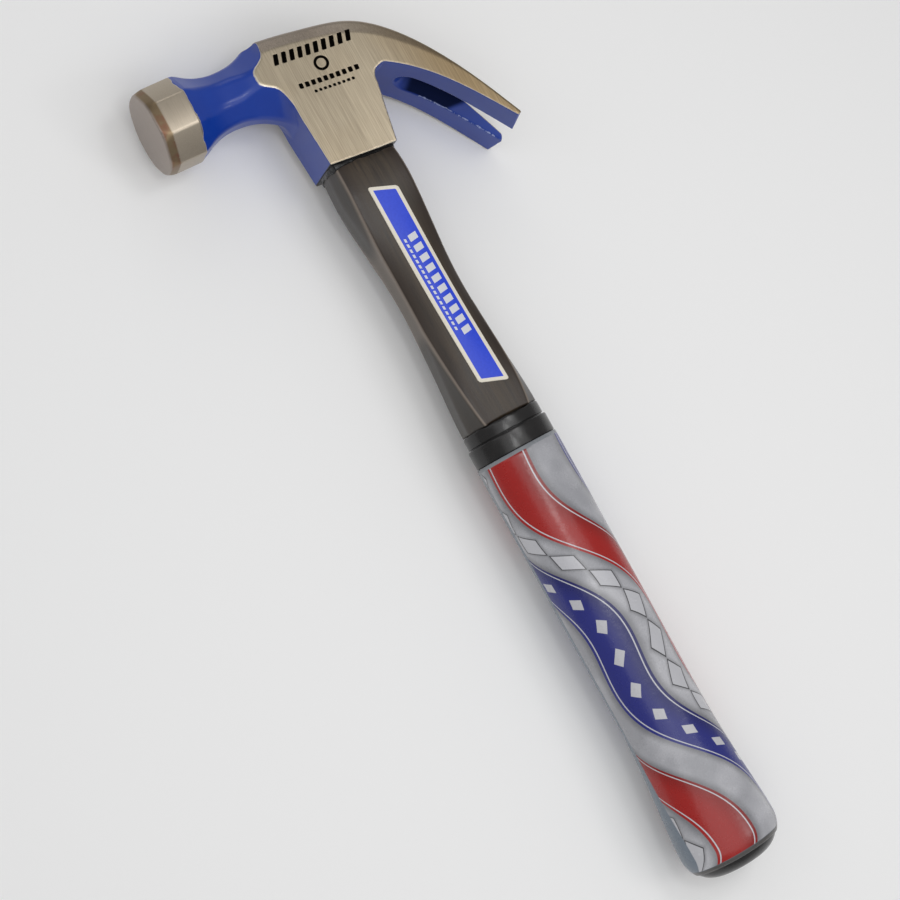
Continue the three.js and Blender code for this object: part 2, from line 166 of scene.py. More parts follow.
def makeCamera():
    place, target = toFrame(camera["place"]), toFrame(camera["target"])
    ahead = Vector(target - place).normalized()
    right = ahead.cross(Vector((-1, 0, 0))).normalized()
    up = right.cross(ahead)
    c, s = math.cos(math.radians(camera["roll"])), math.sin(math.radians(camera["roll"]))
    turn = Matrix((c * right + s * up, -s * right + c * up, -ahead)).transposed()
    data = bpy.data.cameras.new("camera")
    data.lens = camera["lens"]
    data.sensor_width = camera["sensor"]
    data.clip_start = camera["clipStart"] * mm
    eye = bpy.data.objects.new("camera", data)
    eye.matrix_world = Matrix.Translation(place) @ turn.to_4x4()
    bpy.context.scene.collection.objects.link(eye)
    bpy.context.scene.camera = eye


studio = {
    "zenith": 0.4, "horizon": 0.365,
    "lamps": [  # name, place in mm from the mouth, size mm, watts
        ("top softbox", (310, -20, 700), 900, 2.25),
        ("small lamp", (132, -45, 650), 80, 0.25),
        ("side softbox", (10, 150, 650), 140, 0.3),
        ("front softbox", (-160, -420, 520), 300, 0.2),
        ("back softbox", (420, 330, 560), 150, 0.25),
        ("left softbox", (-520, 80, 330), 300, 0.25),
    ],
    "aim": (60, 0, 0), "floorSize": 40000,
    "floorColour": "#f8f8f8",
}


def makeStudio():
    scene = bpy.context.scene
    scene.view_settings.view_transform = "Standard"
    world = bpy.data.worlds.new("white tent")
    world.use_nodes = True
    scene.world = world
    world.node_tree.nodes.clear()
    add = partial(addNode, world.node_tree)
    toward = add("TexCoord", {})
    upward = add("SeparateXYZ", {0: toward.outputs["Generated"]})
    level = add("MapRange", {
        "To Min": studio["horizon"], "To Max": studio["zenith"], "Value": upward.outputs["Z"]})
    tent = add("Background", {"Color": (1, 1, 1, 1), "Strength": level})
    add("OutputWorld", {"Surface": tent})
    for name, place, size, watts in studio["lamps"]:
        data = bpy.data.lights.new(name, "AREA")
        data.size = size * mm
        data.energy = watts
        lamp = bpy.data.objects.new(name, data)
        spot = Vector(toFrame(place))
        lamp.location = spot
        lamp.rotation_euler = (Vector(toFrame(studio["aim"])) - spot).to_track_quat("-Z", "Y").to_euler()
        scene.collection.objects.link(lamp)
    paper = startMaterial("matt white paper")[0]  # uncoated, so it throws back soft light and no gloss
    finishMaterial(paper, {"Base Color": studio["floorColour"], "Roughness": 1.0, "Specular IOR Level": 0.0})
    half = studio["floorSize"] * mm / 2
    mesh = bpy.data.meshes.new("floor")
    corners = [(-half, -half, 0), (half, -half, 0), (half, half, 0), (-half, half, 0)]
    mesh.from_pydata(corners, [], [(0, 1, 2, 3)])
    mesh.materials.append(paper)
    floor = bpy.data.objects.new("floor", mesh)
    scene.collection.objects.link(floor)


makeCamera()
makeStudio()
print("camera, light and floor set")


# Hammer head: a forging drawn as a field of distances, then ground flat and skinned

head = {
    "height": 52.5, "cheekHalf": 12.8, "mouthFront": 13.6, "mouthBack": 12.4, "mouthSlant": 2.4,
    "frontLean": 1.2, "backLean": 4.2, "throat": 26.2, "throatRadius": 5.4, "grindStock": 3,
    "crownPulls": ((25.78, 48.8), (35.9, 35.8)), "undersidePulls": ((36.4, 16.8), (44.5, 3.9)),
    "pollHeight": 40.2, "pollReach": 63.2, "pollHalf": 15.1, "pollLength": 14.4,
    "faceRadius": 14.7, "faceCrown": 260, "flatCrown": 65, "flatCrownRun": 4,
    "cornerEdge": (0.35, 0.9, 0.5, 7), "chamferSlope": (0.35, 0.937), "bevelRun": 3.6, "bevelSlope": 0.16,
    "neckHalf": 10.15, "neckWaist": 33.5, "neckRoot": (14.8, 18), "neckFade": 13.3,
    "neckPulls": (0.34, 0.28), "pollPulls": (0.45, 0.29, 0.5),  # shares of each curve's run and rise
    "topLag": 1.8, "cornerLag": 3.6, "cornerLagRun": (3, 17.5, 25, 32),
    "clawReach": 57.8, "clawDrop": 13.8, "clawTip": 1.4, "clawRake": 1.9, "clawHalf": 20,
    "flareStart": 2, "flarePulls": (11.5, 30, 0.67),
    "slotHalf": 6.4, "slotDepth": 9.2, "slotRun": 40, "slotMouth": 2,
    "eyeHalf": (10.6, 8.9), "eyeCrownFlare": 1.1, "eyeMouthFlare": 0.4,
    "crownLift": (0.3, 1.5, 20.5, 13.5), "crownBand": 5.2, "bandSlope": 0.3,
    "forgeFillet": 3.4, "edgeRound": 0.45, "rolledEdge": (0.9, 2.2), "bandEdge": 0.15, "slotRound": 0.4,
    "chamferRound": 0.5, "bevelEdge": 0.12, "faceRound": 0.45, "tipRound": 0.3, "eyeRound": 0.4,
    # From where to where along the claw, the crown or the poll a form or a finish comes in, mm
    "bandFade": (54, 20), "rolledFade": (50, 24), "heatBandFade": (60, 14), "heatFade": (28, 9),
    "pollHeatShadingFade": (37, 45), "clawShadeFade": (14, 44), "bandShadeFade": (26, 6), "pollFade": (-42, -45),
    "pollFrom": 40, "chamferFrom": 54, "faceFrom": 55, "faceBareFrom": 57, "crownBareFrom": 6,
    "bandFrom": -17, "heatSoft": (-1.2, 1.2), "bandSoft": (0.7, -0.7), "bevelSoft": (-0.3, -0.12),
    "chamferSoft": (-0.5, -0.15), "shadowBelow": (-0.05, -0.4), "shadowFade": (18, 15), "shadowRoot": (-4, 1),
    "rootHighlightFade": (6, 0),
    # How deep and how far the belt cut, mm, how far the painted highlight on the slot's edge keeps off its
    # root, and how strong each tint and painted shade is at its weakest or at its most
    "pollCut": 0.1, "pollPaintLead": 0.1, "bevelLead": 0.3, "faceCut": 0.3, "crownEdgeCut": 0.8,
    "crownEdge": 3, "rootHighlightGap": 0.4, "leastHeat": 0.2, "pollHeatShading": 0.5, "leastBandShade": 0.57, "pollCool": 0.6,
    "pollPaint": ((0.4, 3, 0.6), (0.3, 8, 2.1), (0.16, 19, 0)),
    "grid": ((-56.13, 17.2), (-65.17, 60.5), (0.11, 21.7)), "cell": 0.5,  # where the field's points lie
}
farOff = 9  # mm, past all that the finish looks at

# Side view curves as [towards the claw, above the mouth]
crownLine = bezier([
    (-head["mouthFront"] - head["frontLean"], head["height"]), *head["crownPulls"],
    (head["clawReach"], -head["clawDrop"])], 60)
tipRun = crownLine[-1] - np.array(head["crownPulls"][1])
tipRun = tipRun / np.hypot(*tipRun)
tipAcross = np.array([tipRun[1], -tipRun[0]])
throatStart = head["mouthBack"] + head["backLean"]
clawUnderside = bezier([
    (throatStart + head["throatRadius"], head["throat"]), *head["undersidePulls"],
    crownLine[-1] + tipAcross * head["clawTip"]], 48)


def mouthPlane(y):  # the mouth of the eye is a little aslant
    slope = head["mouthSlant"] / (head["mouthFront"] + head["mouthBack"])
    return head["mouthSlant"] / 2 + slope * (y - head["mouthBack"])


def headOutline():
    t = np.linspace(0, 1, 11)[1:, None]
    bend = ((1 - t) ** 2 * clawUnderside[0] + 2 * t * (1 - t) * np.array([throatStart, head["throat"]])
            + t ** 2 * np.array([throatStart, head["throat"] - head["throatRadius"]]))
    overCrown = crownLine + np.array([0, head["grindStock"]])  # the crown is ground off this later
    return np.concatenate([overCrown, clawUnderside[::-1], bend, [
        (head["mouthBack"], -head["mouthSlant"] / 2), (-head["mouthFront"], head["mouthSlant"] / 2),
        (-head["mouthFront"] - head["frontLean"], head["pollHeight"] / 2)]])


# Distance to a closed outline, below zero inside
def outlineDistance(y, h, outline):
    y, h = np.broadcast_arrays(y, h)
    best, inside = np.full(y.shape, 1e9), np.zeros(y.shape, bool)
    for a, b in zip(outline, np.roll(outline, -1, 0)):
        run, rise = b - a
        t = np.clip(((y - a[0]) * run + (h - a[1]) * rise) / max(run * run + rise * rise, 1e-12), 0, 1)
        best = np.minimum(best, np.hypot(y - a[0] - t * run, h - a[1] - t * rise))
        if rise:
            inside ^= ((a[1] > h) != (b[1] > h)) & (y < a[0] + (h - a[1]) * run / rise)
    return np.where(inside, -best, best)


# Place along an open curve, and distance to its right
def curvePlace(y, h, curve):
    y, h = np.broadcast_arrays(y, h)
    best, place, side = np.full(y.shape, 1e9), np.zeros(y.shape), np.zeros(y.shape)
    travelled, last = 0.0, len(curve) - 2
    for k in range(last + 1):
        a, (run, rise) = curve[k], curve[k + 1] - curve[k]
        length = math.hypot(run, rise)
        t = ((y - a[0]) * run + (h - a[1]) * rise) / length ** 2
        t = np.clip(t, -1e9 if k == 0 else 0, 1e9 if k == last else 1)  # the ends run on straight
        gap = np.hypot(y - a[0] - t * run, h - a[1] - t * rise)
        near = gap < best
        best = np.where(near, gap, best)
        place = np.where(near, travelled + t * length, place)
        side = np.where(near, ((h - a[1]) * -run + (y - a[0]) * rise) / length, side)
        travelled += length
    return place, side, travelled


def roundBoth(a, b, radius):  # what both hold, with a rounded edge
    return (np.minimum(np.maximum(a, b), -radius)
            + np.hypot(np.maximum(a + radius, 0), np.maximum(b + radius, 0)))


def filletJoin(a, b, radius):  # what either holds, with a fillet between them
    lap = np.maximum(radius - np.abs(a - b), 0) / radius
    return np.minimum(a, b) - lap * lap * radius / 4


def softMax(a, b, blend):
    lap = np.maximum(blend - np.abs(a - b), 0) / blend
    return np.maximum(a, b) + lap * lap * blend / 4


def halfWidth(y):  # cheeks are parallel, and the claw flares to its tips
    start, half = head["flareStart"], head["cheekHalf"]
    leave, arriveAt, share = head["flarePulls"]
    plan = bezier([
        (start, half), (start + leave, half), (arriveAt, half + (head["clawHalf"] - half) * share),
        (head["clawReach"], head["clawHalf"])], 60)
    noCheek = 99  # beyond the waist of the neck nothing is ground to the cheeks
    return np.where(y < -head["neckWaist"], noCheek, np.interp(y, plan[:, 0], plan[:, 1]))


rootReach, rootHalf = head["neckRoot"]
neckAt, neckHalf = head["neckWaist"], head["neckHalf"]
neckRun, neckRise = neckAt - rootReach, rootHalf - neckHalf
pollBack = head["pollReach"] - head["pollLength"]
pollRun, pollDrop = pollBack - neckAt, head["pollHalf"] - neckHalf
neckPull, neckLift = head["neckPulls"]
pollLeave, pollArrive, pollSink = head["pollPulls"]
neckCurve = np.concatenate([
    bezier([(rootReach, rootHalf), (rootReach + neckRun * neckPull, neckHalf + neckRise * neckLift),
            (neckAt - neckRun * neckPull, neckHalf), (neckAt, neckHalf)], 40),
    bezier([(neckAt, neckHalf), (neckAt + pollRun * pollLeave, neckHalf),
            (pollBack - pollRun * pollArrive, head["pollHalf"] - pollDrop * pollSink),
            (pollBack, head["pollHalf"])], 40)[1:]])


def neckRadius(reach):
    return np.interp(reach, neckCurve[:, 0], neckCurve[:, 1])


# Distance of a point's flat from the poll's axis: the top and corner flats flare later than the side flats
def octagonRadius(x, y, z):
    reach, rise = -y, np.abs(x + head["pollHeight"])
    topLag = (neckRadius(reach) - neckRadius(reach + head["topLag"])) * (x < -head["pollHeight"])
    beforeRoot, full, leave, end = head["cornerLagRun"]
    late = head["cornerLag"] * ease(rootReach - beforeRoot, full, reach) * ease(end, leave, reach)
    cornerLag = neckRadius(reach) - neckRadius(reach + late)
    onPoll = ease(pollBack - head["flatCrownRun"], pollBack, reach)
    belly = onPoll / (2 * head["flatCrown"])  # the poll's flats are a little full
    side, turned = np.abs(z), (rise - np.abs(z)) / math.sqrt(2)
    flat = np.maximum(rise + topLag + side ** 2 * belly, side + rise ** 2 * belly)
    corner = (rise + topLag * 0.5 + side) / math.sqrt(2) + cornerLag + turned ** 2 * belly
    edge, softer, inPoll, behind = head["cornerEdge"]
    return softMax(flat, corner, edge + softer * ease(pollBack + inPoll, pollBack - behind, reach))


def eyeDistance(x, y, z):
    levels = [0, head["height"] / 2, head["height"]]
    flare = np.interp(-x, levels, [head["eyeMouthFlare"], 0, head["eyeCrownFlare"]])
    a, b = head["eyeHalf"][0] + flare, head["eyeHalf"][1] + flare
    size = np.sqrt((y / a) ** 2 + (z / b) ** 2) + 1e-6
    return (size - 1) * size / (np.sqrt((y / a ** 2) ** 2 + (z / b ** 2) ** 2) + 1e-6)


# Height over the ground crown, which is fullest between the eye and the claw
def crownHeight(x, y):
    low, high, at, spread = head["crownLift"]
    lift = low + high * np.exp(-((y - at) / spread) ** 2)
    return -curvePlace(y, -x, crownLine)[1] - lift


# Height over the ground cheeks and crown: between them runs a slanting band with a rolled edge, which dies
# out along the claw
def groundDepth(x, y, z):
    crown, cheek = crownHeight(x, y), np.abs(z) - halfWidth(y)
    slope, width = head["bandSlope"], head["crownBand"] * ease(*head["bandFade"], y)
    band = (cheek + slope * (crown + width)) / math.hypot(1, slope)
    clawRound, crownRound = head["rolledEdge"]
    rolled = clawRound + (crownRound - clawRound) * ease(*head["rolledFade"], y)
    return roundBoth(crown, softMax(cheek, band, head["bandEdge"]), rolled)


# Height over the slanting faces that lead from the poll's flats to the rim of the striking face
def bevelHeight(x, y, z):
    slope = head["bevelSlope"]
    out = octagonRadius(x, y, z) - head["pollHalf"]
    return (out + slope * (-y - head["pollReach"] + head["bevelRun"])) / math.hypot(1, slope)


# Heights over the chamfer round the striking face and over the face itself
def faceHeights(x, y, z):
    axisGap, over = np.hypot(x + head["pollHeight"], z), -y - head["pollReach"]
    tilt, lift = head["chamferSlope"]
    return (axisGap - head["faceRadius"]) * lift + over * tilt, over + axisGap ** 2 / (2 * head["faceCrown"])


# Distance to the nail slot's wall, below zero in the slot, with the place along the claw and below its
# underside
def slotGap(x, y, z):
    along, below, length = curvePlace(y, -x, clawUnderside)
    fromRoot = along - length + head["slotRun"]
    gap = head["slotHalf"] * (1 + below / head["slotDepth"])
    lean = math.hypot(1, head["slotHalf"] / head["slotDepth"])
    return (np.hypot(z, np.maximum(-fromRoot, 0)) - gap) / lean, below, fromRoot


def headField(x, y, z):
    reach, h = -y, -x
    step = 0.2
    slope = (neckRadius(reach + step) - neckRadius(reach - step)) / (2 * step)
    neck = (octagonRadius(x, y, z) - neckRadius(reach)) / np.sqrt(1 + slope ** 2)
    chamfer, face = faceHeights(x, y, z)
    neck = roundBoth(neck, chamfer, head["chamferRound"])
    neck = np.where(reach > pollBack, softMax(neck, bevelHeight(x, y, z), head["bevelEdge"]), neck)
    neck = roundBoth(neck, face, head["faceRound"])
    neck = np.maximum(neck, head["neckFade"] - reach)
    body = outlineDistance(y, h, headOutline())
    forging = filletJoin(body, neck, head["forgeFillet"])
    crown = crownHeight(x, y)
    solid = roundBoth(np.maximum(forging, crown), np.abs(z) - halfWidth(y), head["edgeRound"])
    solid = np.maximum(solid, groundDepth(x, y, z))
    slot, below, _ = slotGap(x, y, z)
    solid = roundBoth(solid, -np.maximum(slot, below - head["slotMouth"]), head["slotRound"])
    tip = (y - crownLine[-1][0]) * tipRun[0] + (h - crownLine[-1][1]) * tipRun[1]
    rake = head["clawRake"] / (head["clawHalf"] - head["slotHalf"])
    tip = (tip - rake * (head["slotHalf"] - np.abs(z))) / math.hypot(1, rake)
    return roundBoth(roundBoth(solid, tip, head["tipRound"]), -eyeDistance(x, y, z), head["eyeRound"])


def alongAxis(axis, rest):  # each place but the last along an axis, and each but the first
    low, high = [rest] * 3, [rest] * 3
    low[axis], high[axis] = slice(0, -1), slice(1, None)
    return tuple(low), tuple(high)


# Skin of a field: one point in each cell that the surface crosses, and a face round each crossed edge
def skinField(field, corner, cell):
    inside, size = field < 0, field.shape
    count = np.zeros(np.array(size) - 1, np.int8)
    total = np.zeros(count.shape + (3,), np.float32)
    for axis in range(3):
        low, high = alongAxis(axis, slice(None))
        a, b = field[low], field[high]
        crossed = inside[low] != inside[high]
        share = np.where(crossed, a / np.where(crossed, a - b, 1), 0).astype(np.float32)
        one, two = [k for k in range(3) if k != axis]
        for p, q in ((0, 0), (0, 1), (1, 0), (1, 1)):
            pick = [slice(None)] * 3
            pick[one], pick[two] = slice(p, size[one] - 1 + p), slice(q, size[two] - 1 + q)
            hit = crossed[tuple(pick)]
            count += hit
            total[..., axis] += np.where(hit, share[tuple(pick)], 0)
            total[..., one] += p * hit
            total[..., two] += q * hit
    cells = np.argwhere(count > 0)
    at = tuple(cells.T)
    number = np.full(count.shape, -1, np.int64)
    number[at] = np.arange(len(cells))
    points = (cells + total[at] / count[at][:, None]) * cell + corner
    faces = []
    for axis in range(3):
        low, high = alongAxis(axis, slice(1, -1))
        first, second = inside[low], inside[high]
        for flag, turn in ((first & ~second, 1), (~first & second, -1)):
            ring = []
            for p, q in ((0, 0), (1, 0), (1, 1), (0, 1)):
                near = np.argwhere(flag)
                near[:, (axis + 1) % 3] += p
                near[:, (axis + 2) % 3] += q
                ring.append(number[tuple(near.T)])
            faces.append(np.stack(ring[::turn], 1))
    return points, np.concatenate(faces)


# Points are moved on to the field's true surface, and its slope there gives their normals
def settle(points):
    step, furthest = 0.06, 0.25  # mm
    level = headField(*points.T)
    slope = np.stack([headField(*(points + step * axis).T) - level for axis in np.eye(3)], 1) / step
    size = np.maximum(np.linalg.norm(slope, axis=1, keepdims=True), 0.5)
    normals = slope / size
    return points - np.clip(level[:, None] / size, -furthest, furthest) * normals, normals


# Carbon steel forging, dipped in blue enamel and then belt-ground on its cheeks, crown and poll: satin metal
# with a fine straight grain next to glossy paint with a soft orange peel, worn bright where the belt cut
# through it
def makeHeadFinish():
    material, add, place = startMaterial("belt-ground carbon steel and blue enamel")
    depth, heat, coarse, band, onPoll, onChamfer, faceGap, stampGap, inSlot, slotEdge, mouthGap = [
        add("Attribute", {"attribute_name": name}) for name in (
            "groundDepth", "heat", "coarse", "band", "poll", "chamfer", "faceGap", "stampGap", "inSlot",
            "slotEdge", "mouthGap")]
    # The belt cut through the paint on a wandering line, and chips came off within a millimetre of it
    wander = add("TexNoise", {"Scale": 0.9, "Detail": 3, "Vector": place})
    edge = add("Math", {"operation": "MULTIPLY_ADD", 0: wander, 1: 0.16, 2: depth})
    cut = add("MapRange", {"From Min": -0.2, "From Max": -0.1, "Value": edge})
    chipNoise = add("TexNoise", {"Scale": 0.8, "Detail": 4, "Roughness": 0.7, "Vector": place})
    nearEdge = add("MapRange", {
        "From Min": -1.4, "From Max": -0.2, "To Min": -0.16, "To Max": 0.02, "Value": depth})
    chipLevel = add("Math", {"operation": "ADD", 0: chipNoise, 1: nearEdge})
    chip = add("MapRange", {"From Min": 0.66, "From Max": 0.68, "Value": chipLevel})
    bare = add("Math", {"operation": "MAXIMUM", 0: cut, 1: chip})
    # Grain of the belt, 0.3 mm wide and about 16 mm long, drawn wider than the real grit so that it shows
    stretch = add("Mapping", {"Scale": (0.06, 3.8, 3.8), "Vector": place})
    grain = add("TexNoise", {"Scale": 1.0, "Detail": 2, "Roughness": 0.7, "Vector": stretch})
    fineStretch = add("Mapping", {"Scale": (0.14, 5, 5), "Vector": place})
    fineGrain = add("TexNoise", {"Scale": 1.0, "Detail": 1, "Vector": fineStretch})
    scratch = add("MapRange", {"From Min": 0.3, "From Max": 0.7, "Value": grain})
    cool, warm = [add("Mix", {"data_type": "RGBA", 0: scratch, 6: low, 7: high})
                  for low, high in (("#a09481", "#bfb29b"), ("#998464", "#b69f7c"))]
    # Straw tint left by the heat of grinding; on the poll it is graded by height, partly painted shading
    cloud = add("TexNoise", {"Scale": 0.05, "Detail": 2, "Vector": place})
    drift = add("Math", {"operation": "MULTIPLY_ADD", 0: cloud, 1: 0.6, 2: -0.3})
    tint = add("Math", {"operation": "ADD", "use_clamp": True, 0: heat, 1: drift})
    steel = add("Mix", {"data_type": "RGBA", 0: tint, 6: cool, 7: warm})
    patch = add("TexNoise", {"Scale": 0.14, "Detail": 3, "Vector": place})
    temper = add("ValToRGB", {0: patch})
    straw, plum = temper.color_ramp.elements
    straw.position, straw.color = 0.47, hexToLinear("#85745c")
    plum.position, plum.color = 0.66, hexToLinear("#84594b")
    # A painted highlight lies on the steel just beside the paint's edge
    paintEdgeHighlight = add("MapRange", {"From Min": -0.05, "From Max": -0.11, "To Max": 0.6, "Value": depth})
    onFace = add("MapRange", {"From Min": 0.9, "From Max": 0.3, "Value": faceGap})
    inStamp = add("MapRange", {"From Min": 0.05, "From Max": -0.1, "Value": stampGap})
    for mask, blend, over in (
            (coarse, "MULTIPLY", "#d2c6b2"),  # painted shade: the steel is drawn darker along the claw's flaring sides
            (band, "MULTIPLY", "#dddde9"),  # painted shade: the crown's sloping band is drawn darker and greyer
            (onPoll, "MIX", "#b6ac9f"),  # the poll met a finer, cooler belt
            (paintEdgeHighlight, "MIX", "#e2dccf"),  # painted highlight: the steel along the paint's edge is drawn brighter
            (onChamfer, "MIX", temper),  # straw and plum temper colours lie round the face
            (onFace, "MIX", "#a0958d"),  # the face itself is greyer
            (inStamp, "MIX", "#070605")):  # the stamped mark has a black oxide floor
        steel = add("Mix", {"data_type": "RGBA", "blend_type": blend, 0: mask, 6: steel, 7: over})
    haze = add("TexNoise", {"Scale": 0.07, "Detail": 3, "Vector": place})
    paint = add("Mix", {"data_type": "RGBA", 0: haze, 6: "#063090", 7: "#1040a4"})
    # A painted highlight runs along the slot's edges, broken where the noise wanders
    edgeHighlight = add("Math", {"operation": "MULTIPLY_ADD", 0: wander, 1: 0.9, 2: slotEdge})
    slotEdgeHighlight = add("MapRange", {"From Min": 0.76, "From Max": 0.6, "To Max": 0.9, "Value": edgeHighlight})
    smear = add("MapRange", {"From Min": 0.6, "From Max": 0.4, "Value": mouthGap})
    for mask, over in (
            (inSlot, "#121a38"),  # painted shadow in the slot's root, blue-black; the same mask makes it metallic and dull
            (slotEdgeHighlight, "#a9b6dc"),  # painted highlight: a thin, broken bright line along the slot's edges
            (smear, "#0b0b0d")):  # sealant is smeared up from the mouth
        paint = add("Mix", {"data_type": "RGBA", 0: mask, 6: paint, 7: over})
    colour = add("Mix", {"data_type": "RGBA", 0: bare, 6: paint, 7: steel})
    unpainted = add("Math", {"operation": "MAXIMUM", 0: bare, 1: inSlot})
    satin = add("MapRange", {"To Min": 0.3, "To Max": 0.48, "Value": fineGrain})
    dull = add("MapRange", {"To Min": 0.28, "To Max": 0.55, "Value": inSlot})
    rough = add("Mix", {0: bare, 2: dull, 3: satin})
    # Grain cuts a few microns deep, the enamel ripples at 1.6 mm and stands proud, and the stamp is sunk
    peel = add("TexNoise", {"Scale": 0.6, "Detail": 1, "Vector": place})
    dulled = add("MapRange", {"To Min": 0.12, "To Max": 0.02, "Value": coarse})
    cutDepth = add("Math", {"operation": "MULTIPLY", 0: fineGrain, 1: dulled})
    sunk = add("Math", {"operation": "MULTIPLY_ADD", 0: inStamp, 1: -1.2, 2: cutDepth})
    ripple = add("Math", {"operation": "MULTIPLY_ADD", 0: peel, 1: 0.14, 2: 1.0})
    height = add("Mix", {0: bare, 2: ripple, 3: sunk})
    bump = add("Bump", {"Strength": 0.7, "Distance": 0.00006, "Height": height})
    return finishMaterial(material, {
        "Base Color": colour, "Metallic": unpainted, "Roughness": rough, "Normal": bump})


# A plain mark for the upper cheek: a row of leaning bars, a ring, and two rows of dashes, each a multiple of
# a pitch
stamp = {
    "rows": (
        {"at": (1.3, 41.8), "half": (15.4, 2.1), "pitch": 3.08, "share": 0.6, "lean": 0.35},
        {"at": (1.7, 29.9), "half": (11.9, 1.05), "pitch": 2.38, "share": 0.68, "lean": 0.1},
        {"at": (2.2, 26.5), "half": (8.1, 0.6), "pitch": 1.8, "share": 0.64, "lean": 0.1}),
    "ringAt": (1.8, 35.6), "ringRadius": 2.3, "ringHalf": 0.55, "slope": 0.1, "depth": 0.4,
}


def stampGap(y, h, z):
    ringY, ringH = stamp["ringAt"]
    gap = np.abs(np.hypot(y - ringY, h - ringH) - stamp["ringRadius"]) - stamp["ringHalf"]
    for row in stamp["rows"]:
        (atY, atH), (halfRun, halfHeight), pitch = row["at"], row["half"], row["pitch"]
        along = y - atY
        up = h - atH + along * stamp["slope"]
        leaned = along - up * row["lean"]
        cell = np.abs((leaned + halfRun) % pitch - pitch / 2) - pitch * row["share"] / 2
        inRow = np.maximum(np.abs(leaned) - halfRun, np.abs(up) - halfHeight)
        gap = np.minimum(gap, np.maximum(cell, inRow))
    return np.where(z > head["cheekHalf"] - stamp["depth"], gap, farOff)


# Where the paint stops round the back of the poll: a little uneven, as it was ground by hand
def pollPaintReach(x, z):
    turn = np.arctan2(z, x + head["pollHeight"])
    return pollBack - head["pollPaintLead"] + waver(turn, head["pollPaint"])


def makeHead():
    cell = head["cell"]
    x, y, z = [np.arange(low, high, cell) for low, high in head["grid"]]
    near = headField(x[:, None, None], y[None, :, None], z[None, None, :]).astype(np.float32)
    field = np.concatenate([near[:, :, ::-1], near], 2)  # both sides are alike
    levels = np.concatenate([-z[::-1], z])
    points, faces = skinField(field, np.array([x[0], y[0], 0.0]), cell)
    step = points[:, 2] / cell  # the two rows beside the middle are closer than a cell
    points[:, 2] = np.interp(step, np.arange(len(levels)), levels)
    points, normals = settle(points)
    x, y, z = points.T
    reach, crown = -y, crownHeight(x, y)
    chamfer, face = faceHeights(x, y, z)
    # Ground bare: cheeks and crown, the crown's own edges, and the poll from a line that was ground by hand
    overPoll = octagonRadius(x, y, z) - head["pollHalf"]
    pollGround = np.minimum(overPoll + head["pollCut"], reach - pollPaintReach(x, z))
    ground = np.where(reach > head["pollFrom"], pollGround, groundDepth(x, y, z))
    ground = np.where(reach > head["faceBareFrom"], np.maximum(ground, head["faceCut"]), ground)
    outer = (y > head["crownBareFrom"]) & (np.abs(z) > halfWidth(y) - head["crownEdge"])
    ground = np.where(outer, np.maximum(ground, crown + head["crownEdgeCut"]), ground)
    bevelFrom = head["pollReach"] - head["bevelRun"] - head["bevelLead"]
    bevel = ease(*head["bevelSoft"], bevelHeight(x, y, z)) * (reach > bevelFrom)
    heatBand = ease(*head["heatSoft"], -crown - head["crownBand"] * ease(*head["heatBandFade"], y))
    heat = heatBand * (head["leastHeat"] + (1 - head["leastHeat"]) * ease(*head["heatFade"], -crown))
    bandGap = -crown - head["crownBand"] * ease(*head["bandFade"], y)
    inBand = ease(*head["bandSoft"], bandGap) * (y > head["bandFrom"])
    greyShading = head["leastBandShade"] + (1 - head["leastBandShade"]) * ease(*head["bandShadeFade"], y)
    slot, below, fromRoot = slotGap(x, y, z)
    # Painted shadow in the slot's root, strongest below the underside and towards the root
    rootShadow = (ease(*head["shadowBelow"], below) * ease(*head["shadowFade"], fromRoot + below)
             * ease(*head["shadowRoot"], fromRoot))
    piece = addPiece("forged_head", points, faces, makeHeadFinish(), "hammer_head", {
        # Millimetres over the ground surface, behind the face, outside the mark, from the slot's edge and off
        # the mouth
        "groundDepth": ground,
        "faceGap": np.where(reach > head["faceFrom"], -face, farOff),
        "stampGap": stampGap(y, -x, z),
        # painted highlight along the slot's edges, kept off the root
        "slotEdge": np.hypot(slot, below) + head["rootHighlightGap"] * ease(*head["rootHighlightFade"], fromRoot),
        "mouthGap": np.where(y < throatStart, mouthPlane(y) - x, farOff),
        # Shares of one
        "chamfer": np.maximum(ease(*head["chamferSoft"], chamfer) * (reach > head["chamferFrom"]), bevel),
        # On the poll the tint grows towards the top: partly tint, partly painted shade above and painted
        # highlight below
        "heat": np.where(reach > head["pollFrom"], head["pollHeatShading"] * ease(*head["pollHeatShadingFade"], -x), heat),
        # painted shade, growing along the claw; it also makes the grain's bump shallower
        "coarse": ease(*head["clawShadeFade"], y),
        "band": inBand * greyShading,
        # painted shade on the crown's band, weaker along the claw
        "poll": head["pollCool"] * ease(*head["pollFade"], y),
        # painted shadow in the slot's root, within the slot's width
        "inSlot": rootShadow * (np.abs(z) < head["slotHalf"]),
    })
    piece.data.normals_split_custom_set_from_vertices(normals.tolist())


makeHead()


# Handle jacket: a waisted shank with a wide flat on each side and slanting facets to the nose and the back

jacket = {
    "shoulderAt": 11.3, "waistAt": 55, "shoulder": (14.2, 10.7), "shoulderInset": 0.9, "waist": (11.3, 9.6),
    "collar": (14.3, 10.4), "noseFlat": 4, "crispness": 90, "ridgeInset": 0.3,
    "shoulderEase": (0.1, 0.6), "waistEase": (0.12, 0.6), "collarEase": (0.4, 0.25),
    "ridge": ((2, 11.5), (7, 11.9), (22, 11.7), (34, 11.9), (50, 11.2), (72, 11.2), (88, 11.0), (105, 9.2)),
    "waistBelly": 0.035, "waistFrom": 8, "waistTo": 100, "mouthGap": 0.15,
    "bore": (8.5, 6.8), "seat": (11.3, 9.6), "end": 275.2, "hiddenGap": 5.0, "sides": 160,
}


